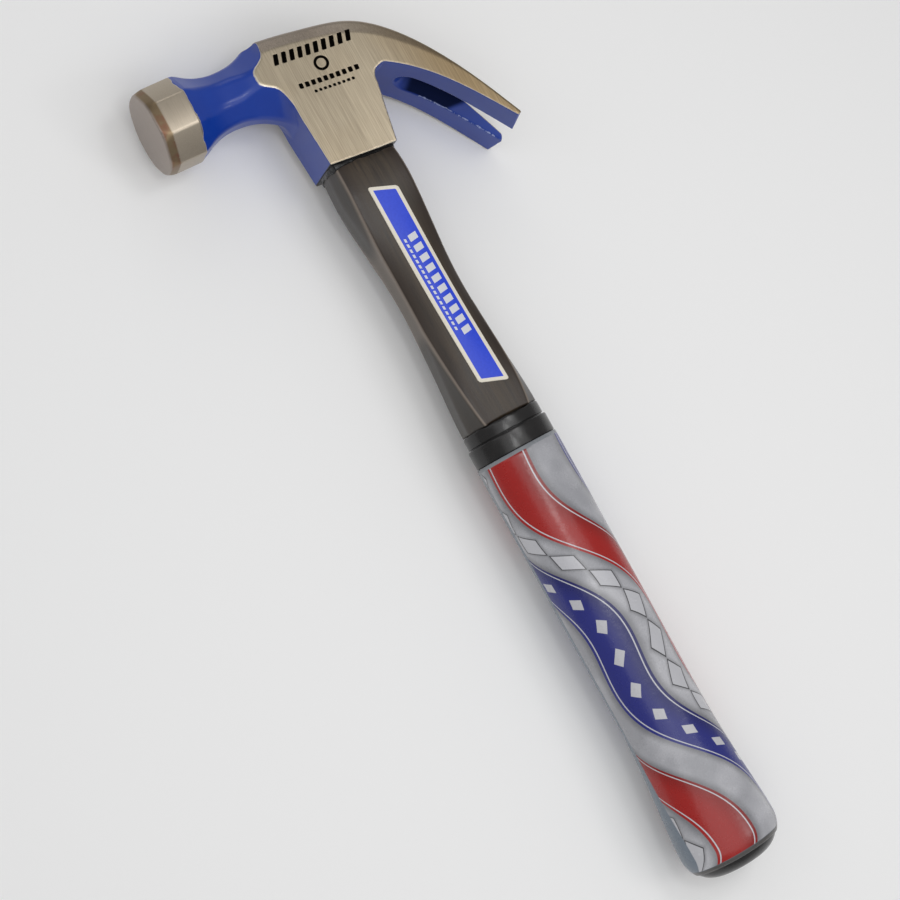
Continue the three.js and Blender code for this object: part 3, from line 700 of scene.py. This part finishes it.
def jacketStations():
    shoulder, waist, collar = [np.array(jacket[key]) for key in ("shoulder", "waist", "collar")]
    start, end = handle["shankStart"], handle["shankEnd"]
    shoulderAt, waistAt = jacket["shoulderAt"], jacket["waistAt"]
    mouth = shoulder - jacket["shoulderInset"]
    return np.concatenate([
        blendSections(start, mouth, shoulderAt, shoulder, jacket["shoulderEase"], 16),
        blendSections(shoulderAt, shoulder, waistAt, waist, jacket["waistEase"], 40)[1:],
        blendSections(waistAt, waist, end, collar, jacket["collarEase"], 40)[1:]])


shankLine = jacketStations()


def shankRadii(along):
    return [np.interp(along, shankLine[:, 0], shankLine[:, k]) for k in (1, 2)]


def sideBelly(along):  # the sides are flat at the shoulder and the collar, and full at the waist
    low, middle, high = jacket["waistFrom"], jacket["waistAt"], jacket["waistTo"]
    return jacket["waistBelly"] * (ease(low, middle, along) * ease(high, middle, along))


# How far the edge between side and facet lies from the middle, smoothed through its places
def ridgeAt(along):
    ridge = np.polyval(np.polyfit(*np.array(jacket["ridge"]).T, 4), along)
    return np.minimum(ridge, shankRadii(along)[0] - jacket["ridgeInset"])


def shankRing(along, angles):
    depth, thickness = shankRadii(along)
    belly = sideBelly(along)
    y, z = np.abs(np.cos(angles)) + 1e-9, np.abs(np.sin(angles))
    side = 2 * thickness / (z + np.sqrt(z * z + 4 * belly * y * y * thickness))
    ridge = ridgeAt(along)
    ridgeZ = thickness - belly * ridge * ridge
    nose = jacket["noseFlat"]
    facet = (depth * (ridgeZ - nose) + nose * (depth - ridge)) / (y * (ridgeZ - nose) + z * (depth - ridge))
    p = jacket["crispness"]
    radius = (side ** -p + facet ** -p + (depth / y) ** -p) ** (-1 / p)
    return radius * np.cos(angles), radius * np.sin(angles)


def ovalRing(along, depth, thickness, angles, shift=0.0):
    y, z = depth * np.cos(angles) + shift, thickness * np.sin(angles)
    return np.stack([np.full(len(angles), along), y, z], 1)


# Polypropylene jacket, moulded round the core: dull brown-black with long streaks where the melt flowed along
def makeJacketFinish():
    material, add, place = startMaterial("moulded polypropylene")
    stretch = add("Mapping", {"Scale": (0.02, 0.7, 0.7), "Vector": place})  # streaks 1.4 mm wide, 50 mm long
    streak = add("TexNoise", {"Scale": 1.0, "Detail": 4, "Roughness": 0.6, "Vector": stretch})
    band = add("MapRange", {"From Min": 0.28, "From Max": 0.72, "Value": streak})
    tone = add("Mix", {"data_type": "RGBA", 0: band, 6: "#1e1712", 7: "#4d4031"})
    cloud = add("TexNoise", {"Scale": 0.06, "Detail": 3, "Vector": place})
    dust = add("MapRange", {"From Min": 0.4, "From Max": 0.8, "To Max": 0.7, "Value": cloud})
    ridgeGap = add("Attribute", {"attribute_name": "ridgeGap"})  # mm outside the edge between side and facet
    bandWander = add("Math", {"operation": "MULTIPLY_ADD", 0: streak, 1: 5.0, 2: ridgeGap})
    beside = add("MapRange", {"interpolation_type": "SMOOTHSTEP", "From Min": -3.5, "From Max": 1.2,
                              "To Max": 0.75, "Value": bandWander})
    onFlat = add("MapRange", {"From Min": 0.1, "From Max": -0.2, "Value": ridgeGap})
    ridgeShade = add("Math", {"operation": "MULTIPLY", 0: beside, 1: onFlat})
    ridgeSide = add("Math", {"operation": "ABSOLUTE", 0: ridgeGap})
    edgeHighlight = add("MapRange", {"From Min": 0.55, "From Max": 0.1, "To Max": 0.85, "Value": ridgeSide})
    greyShading = add("MapRange", {"From Min": 0.2, "From Max": 0.8, "To Max": 0.7, "Value": ridgeGap})
    for mask, over in (
            (dust, "#373028"),  # dust in broad clouds
            (ridgeShade, "#2a1f18"),  # painted shade: a darker, browner band beside the edges on the side flat
            (edgeHighlight, "#857a70"),  # painted highlight: a pale line along the edges between the flats
            (greyShading, "#474543")):  # painted sheen: the facets are drawn greyer
        tone = add("Mix", {"data_type": "RGBA", 0: mask, 6: tone, 7: over})
    gloss = add("MapRange", {"To Min": 0.3, "To Max": 0.5, "Value": streak})
    speck = add("TexNoise", {"Scale": 1.6, "Detail": 3, "Vector": place})
    height = add("Math", {"operation": "ADD", 0: streak, 1: speck})
    bump = add("Bump", {"Strength": 0.5, "Distance": 0.00008, "Height": height})
    return finishMaterial(material, {"Base Color": tone, "Roughness": gloss, "IOR": 1.49, "Normal": bump})


def makeJacket():
    angles = turns(jacket["sides"])
    start, end = handle["shankStart"], jacket["end"]
    rings, gaps = [], []
    for along in shankLine[:, 0]:  # the first rings follow the slanting mouth
        y, z = shankRing(along, angles)
        toMouth = mouthPlane(y) + jacket["mouthGap"] - start
        rings.append(np.stack([along + toMouth * ease(jacket["shoulderAt"], start, along), y, z], 1))
        gaps.append(np.abs(y) - ridgeAt(along))
    for along, half in ((handle["shankEnd"], "seat"), (end, "seat"), (end, "bore"), (start, "bore")):
        rings.append(ovalRing(along, *jacket[half], angles))
        gaps.append(np.full(len(angles), jacket["hiddenGap"]))
    faces = ringFaces(len(rings), len(angles), True)
    addPiece("jacket_shank", np.concatenate(rings), faces, makeJacketFinish(), "handle_jacket", {
        "ridgeGap": np.concatenate(gaps)})


makeJacket()


# Seal: black sealant smeared over the slanting mouth of the eye and drawn in to the jacket's shoulder

seal = {
    "mouthInset": 0.25, "lap": 0.2, "reach": 0.5, "frontReach": 1.7, "lump": 0.3, "lip": 0.3,
    "bore": (9.4, 7.7), "corner": 7, "frontRun": (-0.2, -0.9), "fillet": 1.8, "tuck": 0.15,
    "tucked": (0.995, 0.99), "boreLip": 0.3, "lumps": ((1, 5, 1), (0.7, 13, 0), (0.1, 31, 2)), "sides": 288,
}


# Black silicone sealant, squeezed out and left as it set: a low gloss, a little lumpy
def makeSealFinish():
    material, add, place = startMaterial("black silicone sealant")
    lump = add("TexNoise", {"Scale": 0.6, "Detail": 1, "Vector": place})
    tone = add("Mix", {"data_type": "RGBA", 0: lump, 6: "#060607", 7: "#0e0e10"})
    bump = add("Bump", {"Strength": 0.8, "Distance": 0.0004, "Height": lump})
    return finishMaterial(material, {"Base Color": tone, "Roughness": 0.24, "IOR": 1.41, "Normal": bump})


def makeSeal():
    angles = turns(seal["sides"])
    c, s = np.cos(angles), np.sin(angles)
    # Outline at the mouth: the mouth's own oblong, a little inside its edge, with full corners
    halfY = (head["mouthFront"] + head["mouthBack"]) / 2 - seal["mouthInset"]
    middleY = (head["mouthBack"] - head["mouthFront"]) / 2
    halfZ = head["cheekHalf"] - seal["mouthInset"]
    power = seal["corner"]
    reach = (np.abs(c / halfY) ** power + np.abs(s / halfZ) ** power) ** (-1 / power)
    mouthY, mouthZ = reach * c + middleY, reach * s
    mouthX = mouthPlane(mouthY) - seal["lap"]
    rimY, rimZ = shankRing(handle["shankStart"], angles)
    lumps = waver(angles, seal["lumps"]) * seal["lump"] / 2
    front = ease(*seal["frontRun"], c)
    end = (mouthPlane(rimY) + seal["reach"] + (seal["frontReach"] - seal["reach"]) * front
           + lumps * (1 + front))
    lip = 1 + seal["lip"] * (1 + front + lumps) / np.hypot(rimY, rimZ)
    rings = []
    for share in np.linspace(0, 1, 9):  # a hollow fillet from the mouth to the jacket
        hollow = math.sqrt(share)
        rings.append(np.stack([
            mouthX + (end - mouthX) * share ** seal["fillet"], mouthY + (rimY * lip - mouthY) * hollow,
            mouthZ + (rimZ * lip - mouthZ) * hollow], 1))
    underLip, onJacket = seal["tucked"]
    boreY, boreZ = seal["bore"][0] * c, seal["bore"][1] * s
    boreX = mouthPlane(boreY) - seal["lap"]
    for ring in ((end + seal["tuck"], rimY * underLip, rimZ * underLip),
                 (mouthPlane(rimY) - seal["lap"], rimY * onJacket, rimZ * onJacket),
                 (boreX, boreY, boreZ), (boreX - seal["boreLip"], boreY, boreZ)):
        rings.append(np.stack(ring, 1))
    faces = ringFaces(len(rings), len(angles), True)
    addPiece("sealant_bead", np.concatenate(rings), faces, makeSealFinish(), "eye_seal", {})


makeSeal()


# Label: a slant-ended strip with rounded corners on the upper side flat of the shank

label = {
    "start": 11.2, "length": 79.4, "width": 10.7, "slant": 3.8, "offset": 0.95, "drift": 1.6, "corner": 1.1,
    "border": 1.4, "borderEdge": 0.06, "lift": 0.05, "thickness": 0.14, "edgeRun": 0.3, "edgeShare": 0.5,
    "cell": 0.4,
    "rows": (  # leaning bars and dashes
        {"pitch": 4.2, "share": 0.3, "lean": 0.5, "middle": 0.8, "half": 1.75, "run": 21},
        {"pitch": 2.1, "share": 0.32, "lean": 0.0, "middle": -2.5, "half": 0.4, "run": 18.9}),
}


# Vinyl label film, screen printed: satin blue with a cream border, a little grain in the ink
def makeLabelFinish():
    material, add, place = startMaterial("printed vinyl label")
    inset = add("Attribute", {"attribute_name": "inset"})  # mm in from the label's edge
    border, soft = label["border"], label["borderEdge"]
    field = add("MapRange", {"From Min": border - soft, "From Max": border + soft, "Value": inset})
    ink = add("TexNoise", {"Scale": 1.1, "Detail": 4, "Vector": place})
    blue = add("Mix", {"data_type": "RGBA", 0: ink, 6: "#183bca", 7: "#274bdf"})
    cream = add("Mix", {"data_type": "RGBA", 0: ink, 6: "#ddd6c6", 7: "#ece6d8"})
    # A row of leaning bars over a row of dashes, in white ink
    along = add("Attribute", {"attribute_name": "labelAlong"})  # mm from the middle
    across = add("Attribute", {"attribute_name": "labelAcross"})
    design = blue
    for row in label["rows"]:
        leaned = add("Math", {"operation": "MULTIPLY_ADD", 0: across, 1: row["lean"], 2: along})
        step = add("Math", {"operation": "DIVIDE", 0: leaned, 1: row["pitch"]})
        cell = add("Math", {"operation": "FRACT", 0: step})
        inBar = add("Math", {"operation": "COMPARE", 0: cell, 1: 0.5, 2: row["share"]})
        inRow = add("Math", {"operation": "COMPARE", 0: across, 1: row["middle"], 2: row["half"]})
        inRun = add("Math", {"operation": "COMPARE", 0: leaned, 1: 0.0, 2: row["run"]})
        share = add("Math", {"operation": "MULTIPLY", 0: inBar, 1: inRow})
        share = add("Math", {"operation": "MULTIPLY", 0: share, 1: inRun})
        design = add("Mix", {"data_type": "RGBA", 0: share, 6: design, 7: "#d6d8df"})
    both = add("Mix", {"data_type": "RGBA", 0: field, 6: cream, 7: design})
    bump = add("Bump", {"Strength": 0.25, "Distance": 0.00004, "Height": ink})
    return finishMaterial(material, {"Base Color": both, "Roughness": 0.42, "Normal": bump})


def makeLabel():
    cols, rows = int(label["length"] / label["cell"]), int(label["width"] / label["cell"])
    u, v = np.meshgrid(np.linspace(-0.5, 0.5, cols + 1), np.linspace(-0.5, 0.5, rows + 1), indexing="ij")
    halfU, halfV, corner = label["length"] / 2, label["width"] / 2, label["corner"]
    flatU, flatV = u * label["length"], v * label["width"]
    # The corners of the grid are drawn in to the rounded outline
    overU, overV = np.abs(flatU) - halfU + corner, np.abs(flatV) - halfV + corner
    reach = np.hypot(np.maximum(overU, 0), np.maximum(overV, 0))
    largest = np.maximum(overU, overV)
    pull = np.where((overU > 0) & (overV > 0), largest / np.maximum(reach, 1e-6), 1)
    flatU = np.where(overU > 0, np.sign(flatU) * (halfU - corner + overU * pull), flatU)
    flatV = np.where(overV > 0, np.sign(flatV) * (halfV - corner + overV * pull), flatV)
    inset = corner - largest
    along = label["start"] + halfU + flatU + label["slant"] * (flatV / label["width"] + 0.5)
    across = flatV + label["offset"] + label["drift"] * flatU / label["length"]
    under = shankRadii(along)[1] - sideBelly(along) * across ** 2 + label["lift"]
    size = (cols + 1) * (rows + 1)
    edgeSoft = label["thickness"] * (1 - ease(label["edgeRun"], 0, inset) * label["edgeShare"])
    top = np.stack([along, across, under + edgeSoft], -1).reshape(-1, 3)
    bottom = np.stack([along, across, under], -1).reshape(-1, 3)
    index = np.arange(size).reshape(cols + 1, rows + 1)
    quads = np.stack([index[:-1, :-1], index[1:, :-1], index[1:, 1:], index[:-1, 1:]], -1).reshape(-1, 4)
    rim = np.concatenate([index[:, 0], index[-1, 1:], index[-2::-1, -1], index[0, -2:0:-1]])
    after = np.roll(rim, -1)
    sides = np.stack([rim, rim + size, after + size, after], 1)[:, ::-1]
    faces = np.concatenate([quads, quads[:, ::-1] + size, sides])
    points = np.concatenate([top, bottom])
    fields = {"inset": inset, "labelAlong": flatU, "labelAcross": flatV}
    addPiece("vinyl_label", points, faces, makeLabelFinish(), "handle_label", {
        name: np.tile(values.ravel(), 2) for name, values in fields.items()})


makeLabel()


# Cushion grip: a two-step collar, a straight barrel under the film, and a flared butt hooked to the face side

grip = {
    "ring": (15.1, 13.1), "ringEnd": 110.1, "rim": (15.8, 13.8), "barrel": (15.5, 13.4), "butt": (18.6, 14.8),
    "flareLength": 64, "flareEase": (0.5, 0.2), "buttRound": 11, "buttFlat": 8, "hook": 0.6,
    "bore": (11.6, 9.9), "boreEnd": 275.5, "groove": (0.25, 0.2, 0.5), "filmGap": 0.3, "collarRound": 0.8,
    "trim": 0.22, "trimRun": 1.5, "trimWaves": ((1, 3, 0.4), (0.6, 7, 2), (0.5, 16, 0)), "sides": 160,
    "closeShares": (0.9, 0.6, 0.3, 0.05),
}


def barrelStations():
    end, barrel, butt = handle["buttEnd"], np.array(grip["barrel"]), np.array(grip["butt"])
    start, roundAt = end - grip["flareLength"], end - grip["buttRound"]
    straight = np.array([(along, *barrel) for along in np.linspace(handle["filmStart"], start, 50)[:-1]])
    flare = blendSections(start, barrel, roundAt, butt, grip["flareEase"], 40)
    flat = butt * grip["buttFlat"] / butt[0]
    angle = np.linspace(0, math.pi / 2, 25)[1:, None]
    turn = np.hstack([
        roundAt + grip["buttRound"] * np.sin(angle), flat + (butt - flat) * np.cos(angle)])
    return np.concatenate([straight, flare, turn])


barrelLine = barrelStations()


def hookAt(along):
    end = handle["buttEnd"]
    return -grip["hook"] * ease(end - grip["flareLength"], end - grip["buttRound"], along)


# Corners of a section line are rounded with small arcs
def roundCorners(line, radius, steps=5):
    line = np.array(line, float)
    made = [line[0]]
    for before, at, after in zip(line, line[1:], line[2:]):
        back, on = before - at, after - at
        reach = min(radius, np.linalg.norm(back) * 0.45, np.linalg.norm(on) * 0.45)
        a, b = at + back / np.linalg.norm(back) * reach, at + on / np.linalg.norm(on) * reach
        t = np.linspace(0, 1, steps)[:, None]
        made += list(a * (1 - t) ** 2 + 2 * at * t * (1 - t) + b * t ** 2)
    made.append(line[-1])
    return np.array(made)


# Soft black vinyl, dip moulded: a deep black with a soft sheen, faint flow marks and scuffs
def makeGripFinish():
    material, add, place = startMaterial("moulded black vinyl")
    mark = add("TexNoise", {"Scale": 0.35, "Detail": 5, "Roughness": 0.6, "Vector": place})
    tone = add("Mix", {"data_type": "RGBA", 0: mark, 6: "#0f0e0e", 7: "#1d1b1b"})
    gloss = add("MapRange", {"To Min": 0.12, "To Max": 0.34, "Value": mark})
    pebble = add("TexNoise", {"Scale": 2.4, "Detail": 2, "Vector": place})
    height = add("Math", {"operation": "MULTIPLY_ADD", 0: pebble, 1: 0.35, 2: mark})
    bump = add("Bump", {"Strength": 0.5, "Distance": 0.00012, "Height": height})
    return finishMaterial(material, {"Base Color": tone, "Roughness": gloss, "Normal": bump})


def makeGrip():
    angles = turns(grip["sides"])
    start, filmStart = handle["gripStart"], handle["filmStart"]
    ring, rim, barrel, bore = [np.array(grip[key]) for key in ("ring", "rim", "barrel", "bore")]
    before, after, depth = grip["groove"]
    grooveStart, grooveEnd = grip["ringEnd"] - before, grip["ringEnd"] + after
    rimEnd = filmStart - grip["filmGap"]
    collar = roundCorners([
        (start, *bore), (start, *ring), (grooveStart, *ring), (grooveStart, *(ring - depth)),
        (grooveEnd, *(ring - depth)), (grooveEnd, *rim), (rimEnd, *rim), (rimEnd, *barrel),
        (filmStart + 1, *barrel)], grip["collarRound"])
    end = barrelLine[-1]
    close = [(end[0], *(end[1:] * share)) for share in grip["closeShares"]]
    line = np.concatenate([[(grip["boreEnd"], *bore)], collar, barrelLine[2:], close])
    rings = [ovalRing(a, d, t, angles, hookAt(a) if k else 0) for k, (a, d, t) in enumerate(line)]
    # The collar's top edge was trimmed by hand
    trim = grip["trim"] * waver(angles, grip["trimWaves"])
    for section in rings[1:]:
        section[:, 0] -= trim * ease(grip["ringEnd"] - grip["trimRun"], start, section[:, 0])
    faces = ringFaces(len(rings), len(angles), False)
    addPiece("vinyl_grip", np.concatenate(rings), faces, makeGripFinish(), "cushion_grip", {})


makeGrip()


# Sleeve: a clear film shrunk over the grip, printed on an even strip that leaves a clear seam at the front

sleeve = {
    "lift": 0.15, "thickness": 0.35, "end": 279.1, "sides": 220,
    "seam": 0.42,  # radians below the front
    "printWidth": 81.6, "printStart": 118.8, "printEnd": 277.4, "inkEdge": 0.08, "endEdge": 0.4,
    "tightRun": (120.0, 150.0), "ripple": ((0.05, 0.11, 0), (0.06, 0.047, 1)),
    "ribbonPitch": 64, "ribbonSlant": 0.42, "waveLength": 80, "wave": 6.5,
    "ribbons": (  # middle and half width as shares of the pitch, ink
        (0.22, 0.13, "#9d0f08"), (0.72, 0.13, "#1d2478")),
    "diamondPitch": 12.5, "diamond": (3.4, 2.7),
    "lozengePitch": 15, "lozenge": (6.6, 4.0), "lozengeAt": 0.465, "outline": 0.38, "shadow": 2.2,
}


# Polyester sleeve, reverse printed with ribbons on silver and shrunk over the grip: even ink under a thin
# clear gloss, a fine flake in the silver, airbrushed folds, and a painted grey reflection where the margin
# lies on the black grip
def makeSleeveFinish():
    material, add, place = startMaterial("printed polyester film")
    along = add("Attribute", {"attribute_name": "along"})  # mm from the mouth of the eye
    around = add("Attribute", {"attribute_name": "around"})  # mm from the back
    # Ribbons wind round the grip and sway as they go; the phase counts from ribbon to ribbon
    turn = add("Math", {"operation": "MULTIPLY", 0: along, 1: 2 * math.pi / sleeve["waveLength"]})
    swing = add("Math", {"operation": "SINE", 0: turn})
    sway = add("Math", {"operation": "MULTIPLY_ADD", 0: swing, 1: sleeve["wave"], 2: around})
    drift = add("Math", {"operation": "MULTIPLY_ADD", 0: along, 1: sleeve["ribbonSlant"], 2: sway})
    share = add("Math", {"operation": "DIVIDE", 0: drift, 1: sleeve["ribbonPitch"]})
    phase = add("Math", {"operation": "FRACT", 0: share})
    down = add("Math", {"operation": "MULTIPLY_ADD", 0: around, 1: -sleeve["ribbonSlant"], 2: along})
    # Silver ground with soft folds and a flake of 0.4 mm, drawn coarser than the real one so that it shows
    flake = add("TexNoise", {"Scale": 2.6, "Detail": 2, "Vector": place})
    silver = add("Mix", {"data_type": "RGBA", 0: flake, 6: "#a3a3a8", 7: "#cdcdd2"})
    fold = add("TexNoise", {"Scale": 0.05, "Detail": 2, "Vector": place})
    foldShade = add("MapRange", {"From Min": 0.62, "From Max": 0.4, "To Max": 0.55, "Value": fold})
    design = add("Mix", {"data_type": "RGBA", 0: foldShade, 6: silver, 7: "#7f8086"})
    for middle, half, code in sleeve["ribbons"]:
        offset = add("Math", {"operation": "SUBTRACT", 0: phase, 1: middle})
        scaled = add("Math", {"operation": "DIVIDE", 0: offset, 1: half})
        gap = add("Math", {"operation": "ABSOLUTE", 0: scaled})
        # A soft shadow on the silver, then the ribbon, shaded to one edge, with a fine light line
        fall = add("MapRange", {"interpolation_type": "SMOOTHSTEP", "From Min": 1.45, "From Max": 0.95,
                                "To Max": 0.6, "Value": gap})
        shade = add("MapRange", {"interpolation_type": "SMOOTHSTEP", "From Min": -1.0, "From Max": 0.1,
                                 "To Min": 0.45, "To Max": 0.0, "Value": scaled})
        ink = add("Mix", {"data_type": "RGBA", "blend_type": "MULTIPLY", 0: shade, 6: code, 7: "#8a5a5a"})
        line = add("Math", {"operation": "COMPARE", 0: gap, 1: 0.84, 2: 0.03})
        lined = add("Mix", {"data_type": "RGBA", 0: line, 6: ink, 7: "#c2c2c8"})
        band = add("MapRange", {"From Min": 1.012, "From Max": 0.988, "Value": gap})
        for mask, over in ((fall, "#4a4a4e"), (band, lined)):
            design = add("Mix", {"data_type": "RGBA", 0: mask, 6: design, 7: over})
    # Diamonds run down the blue ribbon, and lozenges, each with a soft shadow and an outline, down the silver
    inside = (1.02, 0.98, 1.0, "LINEAR", "#bebec3")
    wide = sleeve["lozenge"][1]
    rim = sleeve["outline"] / wide
    under = ((1 + sleeve["shadow"] / wide, 0.9, 0.6, "SMOOTHSTEP", "#4c4c4f"),
             (1 + 1.3 * rim, 1 + rim, 1.0, "LINEAR", "#38383b"))
    for middle, pitch, (long, wide), layers in (
            (sleeve["ribbons"][1][0], sleeve["diamondPitch"], sleeve["diamond"], (inside,)),
            (sleeve["lozengeAt"], sleeve["lozengePitch"], sleeve["lozenge"], (*under, inside))):
        aside = add("Math", {"operation": "SUBTRACT", 0: phase, 1: middle})
        asideGap = add("Math", {"operation": "ABSOLUTE", 0: aside})
        asideShare = add("Math", {"operation": "MULTIPLY", 0: asideGap, 1: sleeve["ribbonPitch"] / wide})
        step = add("Math", {"operation": "PINGPONG", 0: down, 1: pitch / 2})
        stepShare = add("Math", {"operation": "DIVIDE", 0: step, 1: long})
        size = add("Math", {"operation": "ADD", 0: asideShare, 1: stepShare})
        for low, high, most, fade, code in layers:
            mask = add("MapRange", {
                "interpolation_type": fade, "From Min": low, "From Max": high, "To Max": most, "Value": size})
            design = add("Mix", {"data_type": "RGBA", 0: mask, 6: design, 7: code})
    # Nothing is printed on the margins at both ends and beside the seam
    edge, half = sleeve["inkEdge"], sleeve["printWidth"] / 2
    printed = 1.0
    for source, at, soft in ((along, sleeve["printStart"], edge), (along, sleeve["printEnd"], -edge),
                             (around, -half, edge), (around, half, -edge)):
        within = add("MapRange", {"From Min": at - soft, "From Max": at + soft, "Value": source})
        printed = add("Math", {"operation": "MULTIPLY", 0: printed, 1: within})
    # Painted reflection: the clear margin is drawn grey, paler where it stands off the grip at the collar
    # than tight over the butt
    tightFrom, tightTo = sleeve["tightRun"]
    tight = add("MapRange", {"From Min": tightFrom, "From Max": tightTo, "Value": along})
    clear = add("Mix", {"data_type": "RGBA", 0: tight, 6: "#83878c", 7: "#6d7884"})
    # Past the print's end the painted reflection is darker, where the film lies tight on the black butt
    end, soft = sleeve["printEnd"], sleeve["endEdge"]
    atEnd = add("MapRange", {"From Min": end - soft, "From Max": end + soft, "Value": along})
    margin = add("Mix", {"data_type": "RGBA", 0: atEnd, 6: clear, 7: "#4d4b4a"})
    colour = add("Mix", {"data_type": "RGBA", 0: printed, 6: margin, 7: design})
    scuff = add("TexNoise", {"Scale": 0.12, "Detail": 5, "Roughness": 0.65, "Vector": place})
    gloss = add("MapRange", {"To Min": 0.15, "To Max": 0.38, "Value": scuff})
    bump = add("Bump", {"Strength": 0.5, "Distance": 0.0004, "Height": scuff})
    return finishMaterial(material, {"Base Color": colour, "Roughness": gloss, "IOR": 1.57, "Normal": bump})


def makeSleeve():
    sides, end = sleeve["sides"], sleeve["end"]
    angles = sleeve["seam"] - math.pi + turns(sides)
    last = [np.interp(end, barrelLine[:, 0], barrelLine[:, k]) for k in (1, 2)]
    stations = np.concatenate([barrelLine[barrelLine[:, 0] < end], [(end, *last)]])
    inside = np.full(len(stations), sleeve["lift"])
    outside = inside + sleeve["thickness"] + waver(stations[:, 0], sleeve["ripple"])
    outer, inner = [
        [ovalRing(a, d + lift, t + lift, angles, hookAt(a)) for (a, d, t), lift in zip(stations, lifts)]
        for lifts in (outside, inside)]
    rings = np.array(outer + inner[::-1])
    # The film is measured round from the seam's far side, at each corner of a face
    step = np.linalg.norm(np.roll(rings, -1, 1) - rings, axis=2)
    arc = np.concatenate([np.zeros((len(rings), 1)), np.cumsum(step, 1)], 1)
    arc -= arc[:, -1:] / 2
    after = np.roll(arc, -1, 0)
    around = np.stack([arc[:, :-1], arc[:, 1:], after[:, 1:], after[:, :-1]], -1)
    addPiece("printed_sleeve", rings.reshape(-1, 3), ringFaces(len(rings), sides, True), makeSleeveFinish(),
             "print_sleeve", {"around": around, "along": rings[:, :, 0]})


makeSleeve()


# Resin and core keep their CAD shape: only the resin's top shows, in the crown

# Cast epoxy resin: dark amber-brown, glossy, with a few bubbles
def makeResinFinish():
    material, add, place = startMaterial("cast epoxy resin")
    swirl = add("TexNoise", {"Scale": 0.3, "Detail": 4, "Vector": place})
    tone = add("Mix", {"data_type": "RGBA", 0: swirl, 6: "#2a2119", 7: "#4c3c2a"})
    bubble = add("TexVoronoi", {"Scale": 0.5, "Vector": place})
    bump = add("Bump", {"Strength": 0.3, "Distance": 0.0003, "Height": bubble.outputs["Distance"]})
    return finishMaterial(material, {"Base Color": tone, "Roughness": 0.22, "Normal": bump})


# Pultruded fibreglass: straw-coloured resin with long pale strands
def makeCoreFinish():
    material, add, place = startMaterial("pultruded fibreglass")
    stretch = add("Mapping", {"Scale": (0.01, 3, 3), "Vector": place})
    strand = add("TexNoise", {"Scale": 1.0, "Detail": 3, "Vector": stretch})
    tone = add("Mix", {"data_type": "RGBA", 0: strand, 6: "#9d9468", 7: "#c9c199"})
    return finishMaterial(material, {"Base Color": tone, "Roughness": 0.5})


for nodeName, finish in (("eye_epoxy", makeResinFinish()), ("fibreglass_core", makeCoreFinish())):
    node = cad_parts[nodeName]
    node.data.materials.clear()
    node.data.materials.append(finish)
print("resin and core finished")
